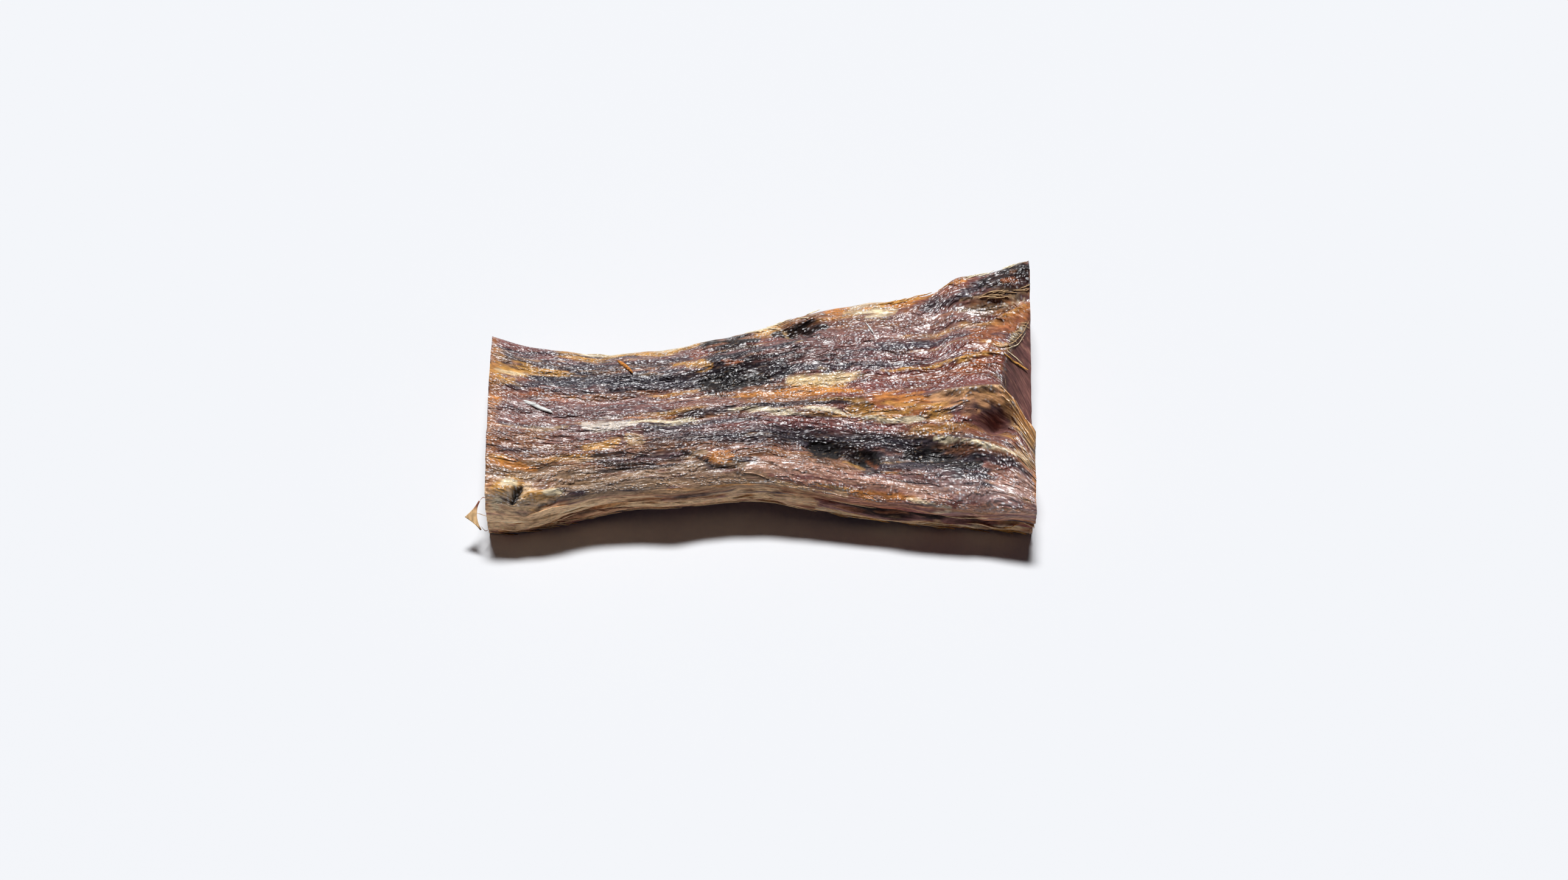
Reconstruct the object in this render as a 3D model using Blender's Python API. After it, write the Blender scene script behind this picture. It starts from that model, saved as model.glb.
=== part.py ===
"""A chip of agarwood: one stick of resin-dark heartwood, split along the grain and sawn off at both ends.

The chip lies on its underside with the grain along X, its near side facing -Y. It is narrowest at the
waist and flares to the right, where the far corner rises to a knob and a curled crest of wood runs down
to the sawn end. Behind the crest a smooth split facet drops away. A thin curl of wood still hangs on the
foot of the left end. All of it grew as one piece, so it is one solid. The origin is the middle of the
bounding box's base.
"""

import math

import bmesh
import bpy
import numpy as np

MM = 0.001

# All sizes below are in millimetres.

# Driving outline: the long edges in plan, as (x, y) points from the left sawn end to the right one.
FAR_EDGE = (
    (-12.0, 2.80), (-10.6, 2.30), (-8.7, 2.08), (-6.8, 1.85), (-3.8, 2.10), (-1.7, 2.72), (0.0, 2.95),
    (0.9, 3.50), (2.8, 4.05), (4.8, 4.15), (7.5, 4.78), (8.5, 4.98), (9.5, 5.62), (11.0, 5.90), (13.0, 6.48),
)
NEAR_EDGE = (
    (-12.0, -6.05), (-10.5, -6.20), (-8.3, -5.78), (-6.4, -5.42), (-3.6, -5.18), (0.5, -4.85), (2.5, -5.15),
    (4.6, -5.50), (7.4, -5.85), (10.0, -6.18), (13.0, -6.52),
)
NEAR_FOOT = (
    (-12.0, -5.95), (-10.7, -5.95), (-9.1, -5.60), (-6.7, -5.20), (-3.7, -5.08), (0.6, -4.72), (2.5, -5.05),
    (4.2, -5.33), (8.5, -5.62), (13.0, -5.95),
)
FAR_FOOT_INSET = ((-12.0, 0.35), (-7.0, 0.10), (-1.0, 0.40), (5.0, 0.15), (9.0, 0.45), (13.0, 0.25))

# Heights along the chip, as (x, z) points: the near and far edges of the top, and the swell between them.
NEAR_HEIGHT = ((-12.0, 2.90), (-6.0, 2.70), (0.0, 2.62), (6.0, 2.50), (13.0, 2.60))
FAR_HEIGHT = ((-12.0, 3.10), (-7.0, 2.90), (0.0, 3.00), (6.0, 3.30), (9.0, 3.50), (13.0, 3.75))
CROWN = ((-12.0, 0.80), (-6.0, 0.72), (0.0, 0.68), (6.0, 0.62), (13.0, 0.55))
CROWN_POWER = 2.8  # a higher power gives a flatter top with a tighter shoulder

# The underside is a split surface, arched clear of the ground between two flat feet.
ARCH = (
    (-12.0, -0.40), (-9.4, -0.08), (-6.3, 0.50), (-3.0, 0.72), (0.5, 0.92), (3.0, 0.80), (5.0, 0.50),
    (7.5, 0.18), (9.6, -0.08), (13.0, -0.40),
)
ARCH_AT_FAR_SIDE = 0.55  # share of the near side's arch that is left at the far side

# Ridges and hollows of the top: a path of (x, y) points, the height at its middle and its half width.
TOP_STROKES = {
    "long trough": (
        ((1.6, -3.0), (3.4, -3.1), (5.1, -3.6), (7.4, -3.2), (9.1, -3.2), (11.2, -4.2)), -0.44, 0.6,
    ),
    "trough pit": (((3.0, -3.0), (3.8, -3.15)), -0.26, 0.42),
    "trough eye": (((4.9, -3.7), (5.5, -3.7)), -0.24, 0.40),
    "trough end pit": (((7.3, -3.2), (9.2, -3.2)), -0.26, 0.45),
    "pale rib": (((9.1, -2.75), (10.2, -2.85), (11.4, -3.3), (12.6, -3.9)), 0.22, 0.28),
    "orange swell": (((5.6, -1.35), (8.4, -1.35)), 0.18, 0.55),
    "middle rib": (((-3.0, -1.3), (0.5, -1.3), (4.0, -1.0)), 0.14, 0.45),
    "left rib": (((-11.5, -2.6), (-7.0, -2.4), (-3.0, -2.4)), 0.12, 0.50),
    "left valley": (((-11.8, -0.4), (-7.0, -0.9), (-4.0, -0.6)), -0.14, 0.45),
    "resin knot": (((-1.9, 2.2), (-0.3, 2.3)), 0.18, 0.45),
    "resin hollow": (((-2.0, 0.6), (0.3, 0.7)), -0.16, 0.45),
    "far pit": (((1.9, 2.75), (2.5, 2.95)), -0.42, 0.36),
    "far lip": (((1.7, 3.45), (3.2, 3.75)), 0.14, 0.30),
    "far valley": (((4.5, 1.9), (8.0, 2.6), (11.0, 3.2)), -0.16, 0.50),
    "knob": (((11.3, 5.0), (12.4, 5.5)), 0.42, 0.80),
    "knob groove": (((9.2, 4.0), (11.0, 4.0), (12.9, 4.4)), -0.26, 0.35),
    "left lump": (((-11.5, -5.5), (-10.9, -5.2)), 0.22, 0.45),
    "corner pit": (((-10.6, -6.1), (-10.1, -5.4)), -0.50, 0.28),
    "corner groove": (((-10.0, -6.2), (-8.6, -5.6)), -0.26, 0.24),
    "flap": (((-1.9, -3.7), (-0.6, -3.75)), 0.16, 0.38),
}

# The curled crest on the right, which ends at the sawn end, and the hollow that it curls round.
CREST = (
    (4.7, -1.0), (6.9, -0.8), (8.6, -0.65), (10.3, -0.45), (11.35, -0.4), (12.05, -1.15), (12.5, -2.1),
    (13.3, -3.3),
)
CREST_HEIGHT = 0.50
CREST_GROWTH = 0.6  # share of the crest's length over which it grows to its full height
CREST_HALF_WIDTH = 0.36
HOLLOW = (11.05, -1.75)
HOLLOW_RADII = (1.05, 0.62)
HOLLOW_DEPTH = 0.85

# The facet behind the crest: a plane through FACET_POINT that falls along +X and rises along +Y.
FACET_POINT = (11.4, -0.3, 3.35)
FACET_SLOPE = (-0.74, 0.34)
FACET_WALL = 0.30  # width over which the crest's back drops to the facet
FACET_START = (10.6, 11.4)  # the facet deepens between these two x

# The grain runs along the crest: the middle grain line's share of the way from near edge to far, by x.
MIDDLE_GRAIN = (
    (-12.0, 0.50), (4.7, 0.47), (9.0, 0.485), (11.3, 0.475), (12.05, 0.416), (12.5, 0.345), (13.0, 0.267),
)

# The long groove on the near side, as (x, z) points, and the lip below it, which stops short of the end.
SIDE_GROOVE = ((2.0, 1.75), (6.0, 1.45), (10.0, 1.25), (13.0, 1.15))
SIDE_GROOVE_DEPTH = 0.34
SIDE_GROOVE_HALF_WIDTH = 0.30
SIDE_GROOVE_START = (2.0, 4.5)  # it deepens between these two x
LIP_INSET = 0.20
LIP_TOP = (0.26, 0.36)  # the right end is set back below this share of the height
LIP_REACH = (0.25, 0.50)  # and up to this share of the width from the near side

# Splitting leaves long ribs along the grain: (seed, height, length of a rib, its share of the width).
RIBS = ((11, 0.18, 5.0, 0.16), (12, 0.12, 2.6, 0.085))
SIDE_RIBS = (21, 0.16, 3.2, 0.45)
UNDER_RIBS = (31, 0.22, 4.5, 0.14)

# Rounding of the four long edges, from the middle of the top edge down.
NEAR_ROUNDING = 0.42
FAR_ROUNDING = 0.30
FOOT_ROUNDING = 0.20

# The curl of wood at the left end is a thin crescent with its point to the left. Its two horns run on as
# thin roots into the chip. Points are (x, y) from its middle, each followed by the bulge of the edge to
# the next point.
CURL_MIDDLE = (-12.46, -5.88, 1.62)
CURL_TILT = math.radians(28)
CURL_THICKNESS = 0.22
CURL_OUTLINE = (
    ((0.90, 0.82), 0.0), ((0.12, 0.66), -0.07), ((-0.54, -0.05), -0.05), ((0.18, -0.62), 0.0),
    ((0.90, -0.02), 0.0), ((0.90, 0.14), 0.0), ((0.20, -0.44), -0.12), ((0.16, 0.48), 0.0),
    ((0.90, 0.64), 0.0),
)
CURL_EDGE_STEPS = 5
WELD = 0.001

# The grid lines along the chip, as (line number, x): they crowd together where the relief is sharpest.
GRID_LINES = ((0, -12.0), (20, -4.2), (40, 2.8), (56, 8.4), (73, 13.0))
CELLS_ACROSS = 32
CELLS_UP = 6
NOISE_SIZE = 64


def clear_scene():
    for thing in list(bpy.data.objects):
        bpy.data.objects.remove(thing, do_unlink=True)


def smooth_through(points, x):
    """A smooth curve through the (x, value) points, read at each x."""
    at, value = np.array(points).T
    slope = np.gradient(value, at)
    i = np.clip(np.searchsorted(at, x) - 1, 0, len(at) - 2)
    step = at[i + 1] - at[i]
    t = np.clip((x - at[i]) / step, 0, 1)
    start = value[i] * (1 + 2 * t) * (1 - t) ** 2 + slope[i] * step * t * (1 - t) ** 2
    end = value[i + 1] * (3 - 2 * t) * t**2 - slope[i + 1] * step * t**2 * (1 - t)
    return start + end


def rise(value, low, high):
    """0 below low, 1 above high, and an S-shaped step between them."""
    t = np.clip((value - low) / (high - low), 0, 1)
    return t * t * (3 - 2 * t)


def grain_noise(seed, along, across, cell_along, cell_across):
    """Seeded noise from -1 to 1 on a grid of cells, drawn out along the grain."""
    grid = np.random.default_rng(seed).uniform(-1, 1, (NOISE_SIZE, NOISE_SIZE))
    u, v = along / cell_along, across / cell_across
    i, j = np.floor(u).astype(int), np.floor(v).astype(int)
    s, t = rise(u - i, 0, 1), rise(v - j, 0, 1)
    left, right = i % NOISE_SIZE, (i + 1) % NOISE_SIZE
    near, far = j % NOISE_SIZE, (j + 1) % NOISE_SIZE
    low = grid[left, near] * (1 - s) + grid[right, near] * s
    high = grid[left, far] * (1 - s) + grid[right, far] * s
    return low * (1 - t) + high * t


def along_path(x, y, path):
    """For each point: its distance to the path, the share of the path behind it, and its side (+1 left)."""
    distance = np.full(np.shape(x), np.inf)
    share = np.zeros(np.shape(x))
    side = np.ones(np.shape(x))
    lengths = [math.dist(a, b) for a, b in zip(path, path[1:])]
    for i, ((ax, ay), (bx, by)) in enumerate(zip(path, path[1:])):
        dx, dy = bx - ax, by - ay
        t = np.clip(((x - ax) * dx + (y - ay) * dy) / lengths[i] ** 2, 0, 1)
        off = np.hypot(x - ax - t * dx, y - ay - t * dy)
        closer = off < distance
        distance = np.where(closer, off, distance)
        share = np.where(closer, (sum(lengths[:i]) + t * lengths[i]) / sum(lengths), share)
        side = np.where(closer, np.sign(dx * (y - ay) - dy * (x - ax)), side)
    return distance, share, side


def bell(distance, half_width):
    """1 in the middle, falling smoothly to nothing at about twice the half width."""
    return np.exp(-((distance / half_width) ** 2))


def add_crest(x, y, z):
    """Raises the crest, sinks the hollow inside its curl and cuts the facet behind it."""
    distance, share, side = along_path(x, y, CREST)
    z = z + CREST_HEIGHT * rise(share, 0, CREST_GROWTH) * bell(distance, CREST_HALF_WIDTH)
    from_hollow = np.hypot((x - HOLLOW[0]) / HOLLOW_RADII[0], (y - HOLLOW[1]) / HOLLOW_RADII[1])
    z = z - HOLLOW_DEPTH * bell(from_hollow, 1)
    facet = FACET_POINT[2] + FACET_SLOPE[0] * (x - FACET_POINT[0]) + FACET_SLOPE[1] * (y - FACET_POINT[1])
    behind = rise(side * distance, 0, FACET_WALL) * rise(x, *FACET_START)
    return z + behind * np.minimum(facet - z, 0)


def follow_grain(b, x):
    """Bends the lines that run along the chip, so that the middle one follows the crest."""
    middle = smooth_through(MIDDLE_GRAIN, x)
    return np.where(b < 0.5, 2 * b * middle, 1 - 2 * (1 - b) * (1 - middle))


def top_height(x, y, v, b):
    """Height of the top at x, y, which is on grain line b and the share v of the way to the far edge."""
    near, far = smooth_through(NEAR_HEIGHT, x), smooth_through(FAR_HEIGHT, x)
    z = near + (far - near) * v + smooth_through(CROWN, x) * (1 - np.abs(2 * v - 1) ** CROWN_POWER)
    for path, height, half_width in TOP_STROKES.values():
        z = z + height * bell(along_path(x, y, path)[0], half_width)
    for seed, height, length, width in RIBS:
        z = z + height * grain_noise(seed, x, b, length, width)
    return add_crest(x, y, z)


def under_height(x, v):
    """Height of the underside: the arch with its ribs, cut off flat where it meets the ground."""
    seed, height, length, width = UNDER_RIBS
    arch = smooth_through(ARCH, x) * (1 - (1 - ARCH_AT_FAR_SIDE) * v)
    return np.maximum(arch + height * grain_noise(seed, x, v, length, width) * rise(arch, 0, 0.4), 0)


def round_corner(across, up, radius):
    """Moves points within radius of a corner from a square corner to a round one, in millimetres."""
    s, t = np.maximum(radius - across, 0), np.maximum(radius - up, 0)
    reach = np.maximum(s, t)
    angle = math.pi / 4 * np.minimum(s, t) / np.maximum(reach, 1e-9)
    long_part, short_part = reach * np.cos(angle), reach * np.sin(angle)
    inside = (s > 0) & (t > 0)
    new_s = np.where(s >= t, long_part, short_part)
    new_t = np.where(s >= t, short_part, long_part)
    return np.where(inside, radius - new_s, across), np.where(inside, radius - new_t, up)


def rounded_section(v, w, width, height):
    """Rounds the four corners of the section. v runs from near to far and w from underside to top."""
    across, up = v * width, w * height
    across, down = round_corner(across, height - up, NEAR_ROUNDING)
    back, down = round_corner(width - across, down, FAR_ROUNDING)
    back, up = round_corner(back, height - down, FOOT_ROUNDING)
    across, up = round_corner(width - back, up, FOOT_ROUNDING)
    return across / width, up / height


def near_side(x, w):
    """The near side's y at height share w: a slight bulge, ribs along the grain and the long groove."""
    y = smooth_through(NEAR_FOOT, x) * (1 - w) + smooth_through(NEAR_EDGE, x) * w
    seed, height, length, width = SIDE_RIBS
    y = y + height * grain_noise(seed, x, w, length, width) * np.sin(math.pi * w)
    groove = smooth_through(SIDE_GROOVE, x)
    z = w * smooth_through(NEAR_HEIGHT, x)
    return y + SIDE_GROOVE_DEPTH * rise(x, *SIDE_GROOVE_START) * bell(z - groove, SIDE_GROOVE_HALF_WIDTH)


def far_side(x, w):
    """The far side's y at height share w, drawn in towards its foot."""
    seed, height, length, width = SIDE_RIBS
    y = smooth_through(FAR_EDGE, x) - smooth_through(FAR_FOOT_INSET, x) * (1 - w)
    return y + height * grain_noise(seed + 1, x, w, length, width) * np.sin(math.pi * w)


def chip_surface(a, b, c):
    """Maps points of the unit cube, a along, b across and c up, onto the chip, in millimetres."""
    x = smooth_through(GRID_LINES, a * GRID_LINES[-1][0])
    width = smooth_through(FAR_EDGE, x) - smooth_through(NEAR_EDGE, x)
    v, w = rounded_section(follow_grain(b, x), c, width, smooth_through(NEAR_HEIGHT, x))
    near, far = near_side(x, w), far_side(x, w)
    y = near + (far - near) * v
    top_y = smooth_through(NEAR_EDGE, x) + width * v
    low, high = under_height(x, v), top_height(x, top_y, v, b)
    z = low + (high - low) * w
    lip = (1 - rise(w, *LIP_TOP)) * (1 - rise(v, *LIP_REACH)) * (a > 1 - WELD)
    return x - LIP_INSET * lip, y, z


def grid_cube():
    """A cube from (0, 0, 0) to (1, 1, 1), cut into the cells that the chip's surface needs."""
    mesh = bmesh.new()
    bmesh.ops.create_cube(mesh, size=1)
    for axis, cells in enumerate((GRID_LINES[-1][0], CELLS_ACROSS, CELLS_UP)):
        along_axis = [e for e in mesh.edges if abs(e.verts[0].co[axis] - e.verts[1].co[axis]) > 0.5]
        bmesh.ops.subdivide_edges(mesh, edges=along_axis, cuts=cells - 1, use_grid_fill=True)
    bmesh.ops.translate(mesh, verts=mesh.verts, vec=(0.5, 0.5, 0.5))
    return mesh


def wood_material():
    material = bpy.data.materials.new("resinous heartwood")
    material.use_nodes = True
    shader = material.node_tree.nodes["Principled BSDF"]
    shader.inputs["Base Color"].default_value = (0.13, 0.055, 0.03, 1)
    shader.inputs["Roughness"].default_value = 0.42
    shader.inputs["Metallic"].default_value = 0.0
    return material


def make_chip(collection, material):
    """The body of the chip: the grid cube with each vertex moved onto the chip's surface."""
    mesh = grid_cube()
    cube = np.array([vertex.co for vertex in mesh.verts])
    places = np.stack(chip_surface(*cube.T), axis=1) * MM
    for vertex, place in zip(mesh.verts, places):
        vertex.co = place
    bmesh.ops.recalc_face_normals(mesh, faces=mesh.faces)
    data = bpy.data.meshes.new("agarwood_chip")
    mesh.to_mesh(data)
    mesh.free()
    data.materials.append(material)
    data.shade_smooth()
    data.set_sharp_from_angle(angle=math.radians(70))
    chip = bpy.data.objects.new("agarwood_chip", data)
    collection.objects.link(chip)
    return chip


def curl_outline():
    """The curl's outline as plain points, with each edge bowed by its bulge."""
    points = []
    for (start, bulge), (end, _) in zip(CURL_OUTLINE, CURL_OUTLINE[1:] + CURL_OUTLINE[:1]):
        dx, dy = end[0] - start[0], end[1] - start[1]
        steps = CURL_EDGE_STEPS if bulge else 1
        for t in (step / steps for step in range(steps)):
            bow = 4 * bulge * t * (1 - t) / math.hypot(dx, dy)
            points.append((start[0] + dx * t - dy * bow, start[1] + dy * t + dx * bow))
    return points


def make_curl(collection, material):
    """The curl of wood: a flat outline given its thickness, tilted, with both roots sunk in the chip."""
    line = bpy.data.curves.new("curl_outline", "CURVE")
    line.dimensions = "2D"
    line.fill_mode = "BOTH"
    line.extrude = CURL_THICKNESS / 2 * MM
    outline = curl_outline()
    spline = line.splines.new("POLY")
    spline.points.add(len(outline) - 1)
    spline.use_cyclic_u = True
    for point, (x, y) in zip(spline.points, outline):
        point.co = (x * MM, y * MM, 0, 1)
    flat = bpy.data.objects.new("curl_outline", line)
    flat.location = [middle * MM for middle in CURL_MIDDLE]
    flat.rotation_euler = (CURL_TILT, 0, 0)
    collection.objects.link(flat)
    bpy.context.view_layer.update()
    graph = bpy.context.evaluated_depsgraph_get()
    data = bpy.data.meshes.new_from_object(flat.evaluated_get(graph))
    curl = bpy.data.objects.new("curl", data)
    curl.matrix_world = flat.matrix_world.copy()
    bpy.data.objects.remove(flat, do_unlink=True)
    mesh = bmesh.new()
    mesh.from_mesh(data)
    bmesh.ops.remove_doubles(mesh, verts=mesh.verts, dist=WELD * MM)
    bmesh.ops.recalc_face_normals(mesh, faces=mesh.faces)
    mesh.to_mesh(data)
    mesh.free()
    data.materials.append(material)
    collection.objects.link(curl)
    curl.hide_render = True
    curl.display_type = "WIRE"
    return curl


def join(chip, curl):
    """Makes the curl part of the chip's own solid."""
    union = chip.modifiers.new("curl", "BOOLEAN")
    union.operation = "UNION"
    union.solver = "EXACT"
    union.object = curl


def main():
    clear_scene()
    parts = bpy.data.collections.new("agarwood chip")
    cutters = bpy.data.collections.new("joined shapes")
    bpy.context.scene.collection.children.link(parts)
    bpy.context.scene.collection.children.link(cutters)
    material = wood_material()
    chip = make_chip(parts, material)
    join(chip, make_curl(cutters, material))


main()
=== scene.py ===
"""A chip of agarwood on a pale table: resin-dark heartwood, split along the grain and sawn at both ends.

Each section makes one piece of the object, with its sizes, colours and finish. The chip lies along X with
its near side towards -Y. Sizes are in millimetres and become metres as a mesh is made.
"""

import math

import bmesh
import bpy
import numpy as np
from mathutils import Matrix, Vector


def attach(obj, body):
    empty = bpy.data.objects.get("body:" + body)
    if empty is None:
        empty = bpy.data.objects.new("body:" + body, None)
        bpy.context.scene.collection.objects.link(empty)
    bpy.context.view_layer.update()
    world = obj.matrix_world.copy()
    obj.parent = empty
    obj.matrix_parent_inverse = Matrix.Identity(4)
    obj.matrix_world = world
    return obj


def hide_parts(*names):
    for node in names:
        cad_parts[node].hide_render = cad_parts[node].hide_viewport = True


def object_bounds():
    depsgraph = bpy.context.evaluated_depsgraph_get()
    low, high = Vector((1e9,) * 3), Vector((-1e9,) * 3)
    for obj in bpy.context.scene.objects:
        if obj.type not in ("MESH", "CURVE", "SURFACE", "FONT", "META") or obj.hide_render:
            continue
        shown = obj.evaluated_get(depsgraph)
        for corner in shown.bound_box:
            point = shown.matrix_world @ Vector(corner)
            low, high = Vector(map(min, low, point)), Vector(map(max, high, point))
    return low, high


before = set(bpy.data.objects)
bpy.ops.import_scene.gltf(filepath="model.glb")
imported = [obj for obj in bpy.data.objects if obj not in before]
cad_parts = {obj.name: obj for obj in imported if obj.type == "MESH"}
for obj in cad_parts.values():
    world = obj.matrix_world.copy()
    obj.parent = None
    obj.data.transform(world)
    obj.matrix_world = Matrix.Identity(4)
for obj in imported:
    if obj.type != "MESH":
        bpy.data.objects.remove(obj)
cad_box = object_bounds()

MM = 0.001

# The chip itself is one stick of heartwood. It was split from a larger piece, so its four long sides follow
# the grain and are ribbed by the fibres that tore. Both ends were sawn straight across. The right end flares
# to a knob at the far corner, and a curled crest of wood runs down to that end with a hollow under it.

FAR_EDGE = (
    (-12.0, 2.93), (-10.6, 2.49), (-8.7, 2.18), (-6.8, 1.93), (-5.6, 2.14), (-3.8, 2.28), (-1.7, 2.90),
    (-0.4, 3.20), (0.9, 3.60), (2.8, 4.18), (4.8, 4.55), (5.8, 4.74), (6.7, 4.72), (7.5, 4.85), (8.5, 5.02),
    (9.5, 5.76), (11.0, 5.92), (13.0, 6.60),
)
NEAR_EDGE = (
    (-12.0, -6.02), (-10.5, -6.12), (-8.3, -5.72), (-6.4, -5.40), (-3.6, -5.22), (0.5, -4.97), (2.5, -5.22),
    (4.6, -5.50), (7.4, -5.85), (10.0, -6.18), (13.0, -6.52),
)
NEAR_FOOT = (
    (-12.0, -5.95), (-10.7, -5.95), (-9.1, -5.60), (-6.7, -5.20), (-3.7, -5.10), (0.6, -4.82), (2.5, -5.10),
    (4.2, -5.33), (8.5, -5.62), (13.0, -5.95),
)
FAR_FOOT_INSET = ((-12.0, 0.35), (-7.0, 0.10), (-1.0, 0.40), (5.0, 0.15), (9.0, 0.45), (13.0, 0.25))
NEAR_HEIGHT = ((-12.0, 2.85), (-9.0, 2.68), (-6.0, 2.70), (0.0, 2.78), (6.0, 2.50), (13.0, 2.60))
FAR_HEIGHT = ((-12.0, 3.10), (-7.0, 2.90), (0.0, 3.00), (6.0, 3.30), (9.0, 3.50), (13.0, 3.75))
CROWN = ((-12.0, 0.80), (-6.0, 0.72), (0.0, 0.68), (6.0, 0.62), (13.0, 0.55))
CROWN_POWER = 2.8
ARCH = (
    (-12.0, -0.40), (-9.4, -0.08), (-6.3, 0.50), (-3.0, 0.72), (0.5, 0.92), (3.0, 0.80), (5.0, 0.50),
    (7.5, 0.18), (9.6, -0.08), (13.0, -0.40),
)
ARCH_AT_FAR_SIDE = 0.55

# Ridges and hollows of the top: a path of (x, y) points, the height at its middle and its half width.
TOP_STROKES = {
    "long trough": (
        ((1.8, -3.1), (3.4, -3.2), (5.1, -3.7), (7.4, -3.45), (9.3, -3.5), (11.0, -4.3)), -0.34, 0.62,
    ),
    "trough pit": (((3.0, -3.15), (3.8, -3.3)), -0.24, 0.40),
    "trough eye": (((4.9, -3.7), (5.5, -3.7)), -0.30, 0.34),
    "trough end pit": (((7.8, -3.5), (9.6, -3.55)), -0.22, 0.40),
    "pale rib": (((9.1, -2.75), (10.2, -2.90), (11.4, -3.35), (12.6, -3.95)), 0.16, 0.15),
    "orange swell": (((5.6, -1.35), (8.4, -1.35)), 0.18, 0.55),
    "middle rib": (((-3.0, -1.3), (0.5, -1.3), (4.0, -1.0)), 0.14, 0.45),
    "left rib": (((-11.5, -2.6), (-7.0, -2.4), (-3.0, -2.4)), 0.12, 0.50),
    "left valley": (((-11.8, -0.4), (-7.0, -0.9), (-4.0, -0.6)), -0.14, 0.45),
    "resin knot": (((-1.9, 2.2), (-0.3, 2.3)), 0.18, 0.45),
    "resin hollow": (((-2.0, 0.6), (0.3, 0.7)), -0.18, 0.42),
    "far pit": (((1.9, 2.85), (2.6, 3.00)), -0.50, 0.38),
    "far lip": (((1.7, 3.45), (3.2, 3.75)), 0.16, 0.26),
    "far valley": (((4.5, 1.9), (8.0, 2.6), (11.0, 3.2)), -0.16, 0.50),
    "knob": (((11.3, 5.0), (12.4, 5.5)), 0.42, 0.80),
    "knob groove": (((9.2, 4.0), (11.0, 4.0), (12.9, 4.4)), -0.26, 0.35),
    "left lump": (((-11.5, -5.5), (-10.9, -5.2)), 0.22, 0.45),
    "corner pit": (((-10.75, -5.80), (-10.4, -5.35)), -0.36, 0.13),
    "corner groove": (((-10.3, -6.15), (-9.5, -5.88), (-8.8, -5.63)), -0.20, 0.09),
    "pale splinter": (((-10.0, -5.62), (-9.3, -5.48), (-8.75, -5.35)), 0.20, 0.14),
    "corner lump": (((-11.3, -5.6), (-10.8, -5.45)), 0.16, 0.22),
    "flap": (((-1.9, -3.75), (-0.6, -3.8)), 0.12, 0.30),
    "crack": (((-3.1, -3.6), (-2.2, -3.85), (-1.6, -4.2), (-0.6, -4.2)), -0.06, 0.06),
    "cream strip": (((-7.6, -2.3), (-6.7, -2.25), (-4.6, -2.1)), 0.07, 0.20),
    "upper amber line": (((6.7, 0.6), (8.1, 0.7), (9.0, 1.0), (10.0, 1.3), (11.6, 1.5)), 0.09, 0.10),
    "rust ridge": (((10.9, 3.2), (12.4, 3.8), (12.9, 4.3)), 0.10, 0.12),
    "rust groove": (((10.9, 3.45), (12.3, 4.05)), -0.12, 0.10),
    "pink ridge": (((3.0, -4.5), (6.2, -4.9), (8.7, -5.7)), 0.08, 0.22),
}

CREST = (
    (4.7, -1.0), (6.9, -0.8), (8.6, -0.70), (10.3, -0.55), (11.45, -0.55), (12.10, -1.20), (12.55, -2.1),
    (13.3, -3.3),
)
CREST_HEIGHT = 0.34
CREST_GROWTH = 0.6
CREST_HALF_WIDTH = 0.36
CREST_NEAR_SLOPE = 0.55  # how much wider it is on its near side, left of its curl
CREST_LIP = (0.12, 0.12)  # the thin rim on top of the crest: its height and half width
HOLLOW = (11.05, -2.05)
HOLLOW_RADII = (0.95, 0.58)
HOLLOW_DEPTH = 0.85
DARK_POCKET = (11.35, -1.90)  # the deepest part of the hollow, right under the crest
POCKET_RADII = (0.42, 0.34)
POCKET_DEPTH = 0.35
FACET_POINT = (11.4, -0.3, 3.35)
FACET_SLOPE = (-0.74, 0.34)
FACET_WALL = 0.30
FACET_BORDER = ((-2.0, 11.6), (-0.3, 11.65), (1.3, 11.8), (2.3, 12.3), (3.3, 12.9), (5.0, 13.8))  # (y, x)
FACET_FADE = 0.22
MIDDLE_GRAIN = (
    (-12.0, 0.50), (4.7, 0.47), (9.0, 0.485), (11.3, 0.475), (12.05, 0.416), (12.5, 0.345), (13.0, 0.267),
)

SIDE_GROOVE = ((2.0, 1.75), (6.0, 1.45), (10.0, 1.25), (13.0, 1.15))
SIDE_GROOVE_DEPTH = 0.34
SIDE_GROOVE_HALF_WIDTH = 0.26
SIDE_GROOVE_START = (2.0, 4.5)
FOOT_GROOVE = ((-9.9, 0.62), (-9.0, 0.80), (-7.2, 1.15), (-5.6, 1.35))  # (x, z), left of the middle
FOOT_GROOVE_DEPTH = 0.20
FOOT_GROOVE_HALF_WIDTH = 0.11
LIP_INSET = 0.20
LIP_TOP = (0.26, 0.36)
LIP_REACH = (0.25, 0.50)

# Ribs that splitting leaves along the grain: (seed, height, length, its share of the width). The first two
# carry the form, the others are the torn fibres on it.
RIBS = ((11, 0.18, 5.0, 0.16), (12, 0.09, 2.6, 0.085), (13, 0.035, 1.2, 0.036), (14, 0.030, 0.5, 0.016))
SIDE_RIBS = ((21, 0.16, 3.2, 0.45), (23, 0.11, 2.1, 0.16), (25, 0.08, 1.2, 0.075), (27, 0.05, 0.6, 0.04))
UNDER_RIBS = ((31, 0.22, 4.5, 0.14), (32, 0.10, 2.2, 0.05), (33, 0.06, 1.3, 0.02))
LEDGES = ((41, 0.040, 2.4, 0.07), (42, 0.030, 1.6, 0.045))  # steps where a layer of fibres tore off
SAW_RELIEF = 0.035

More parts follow.
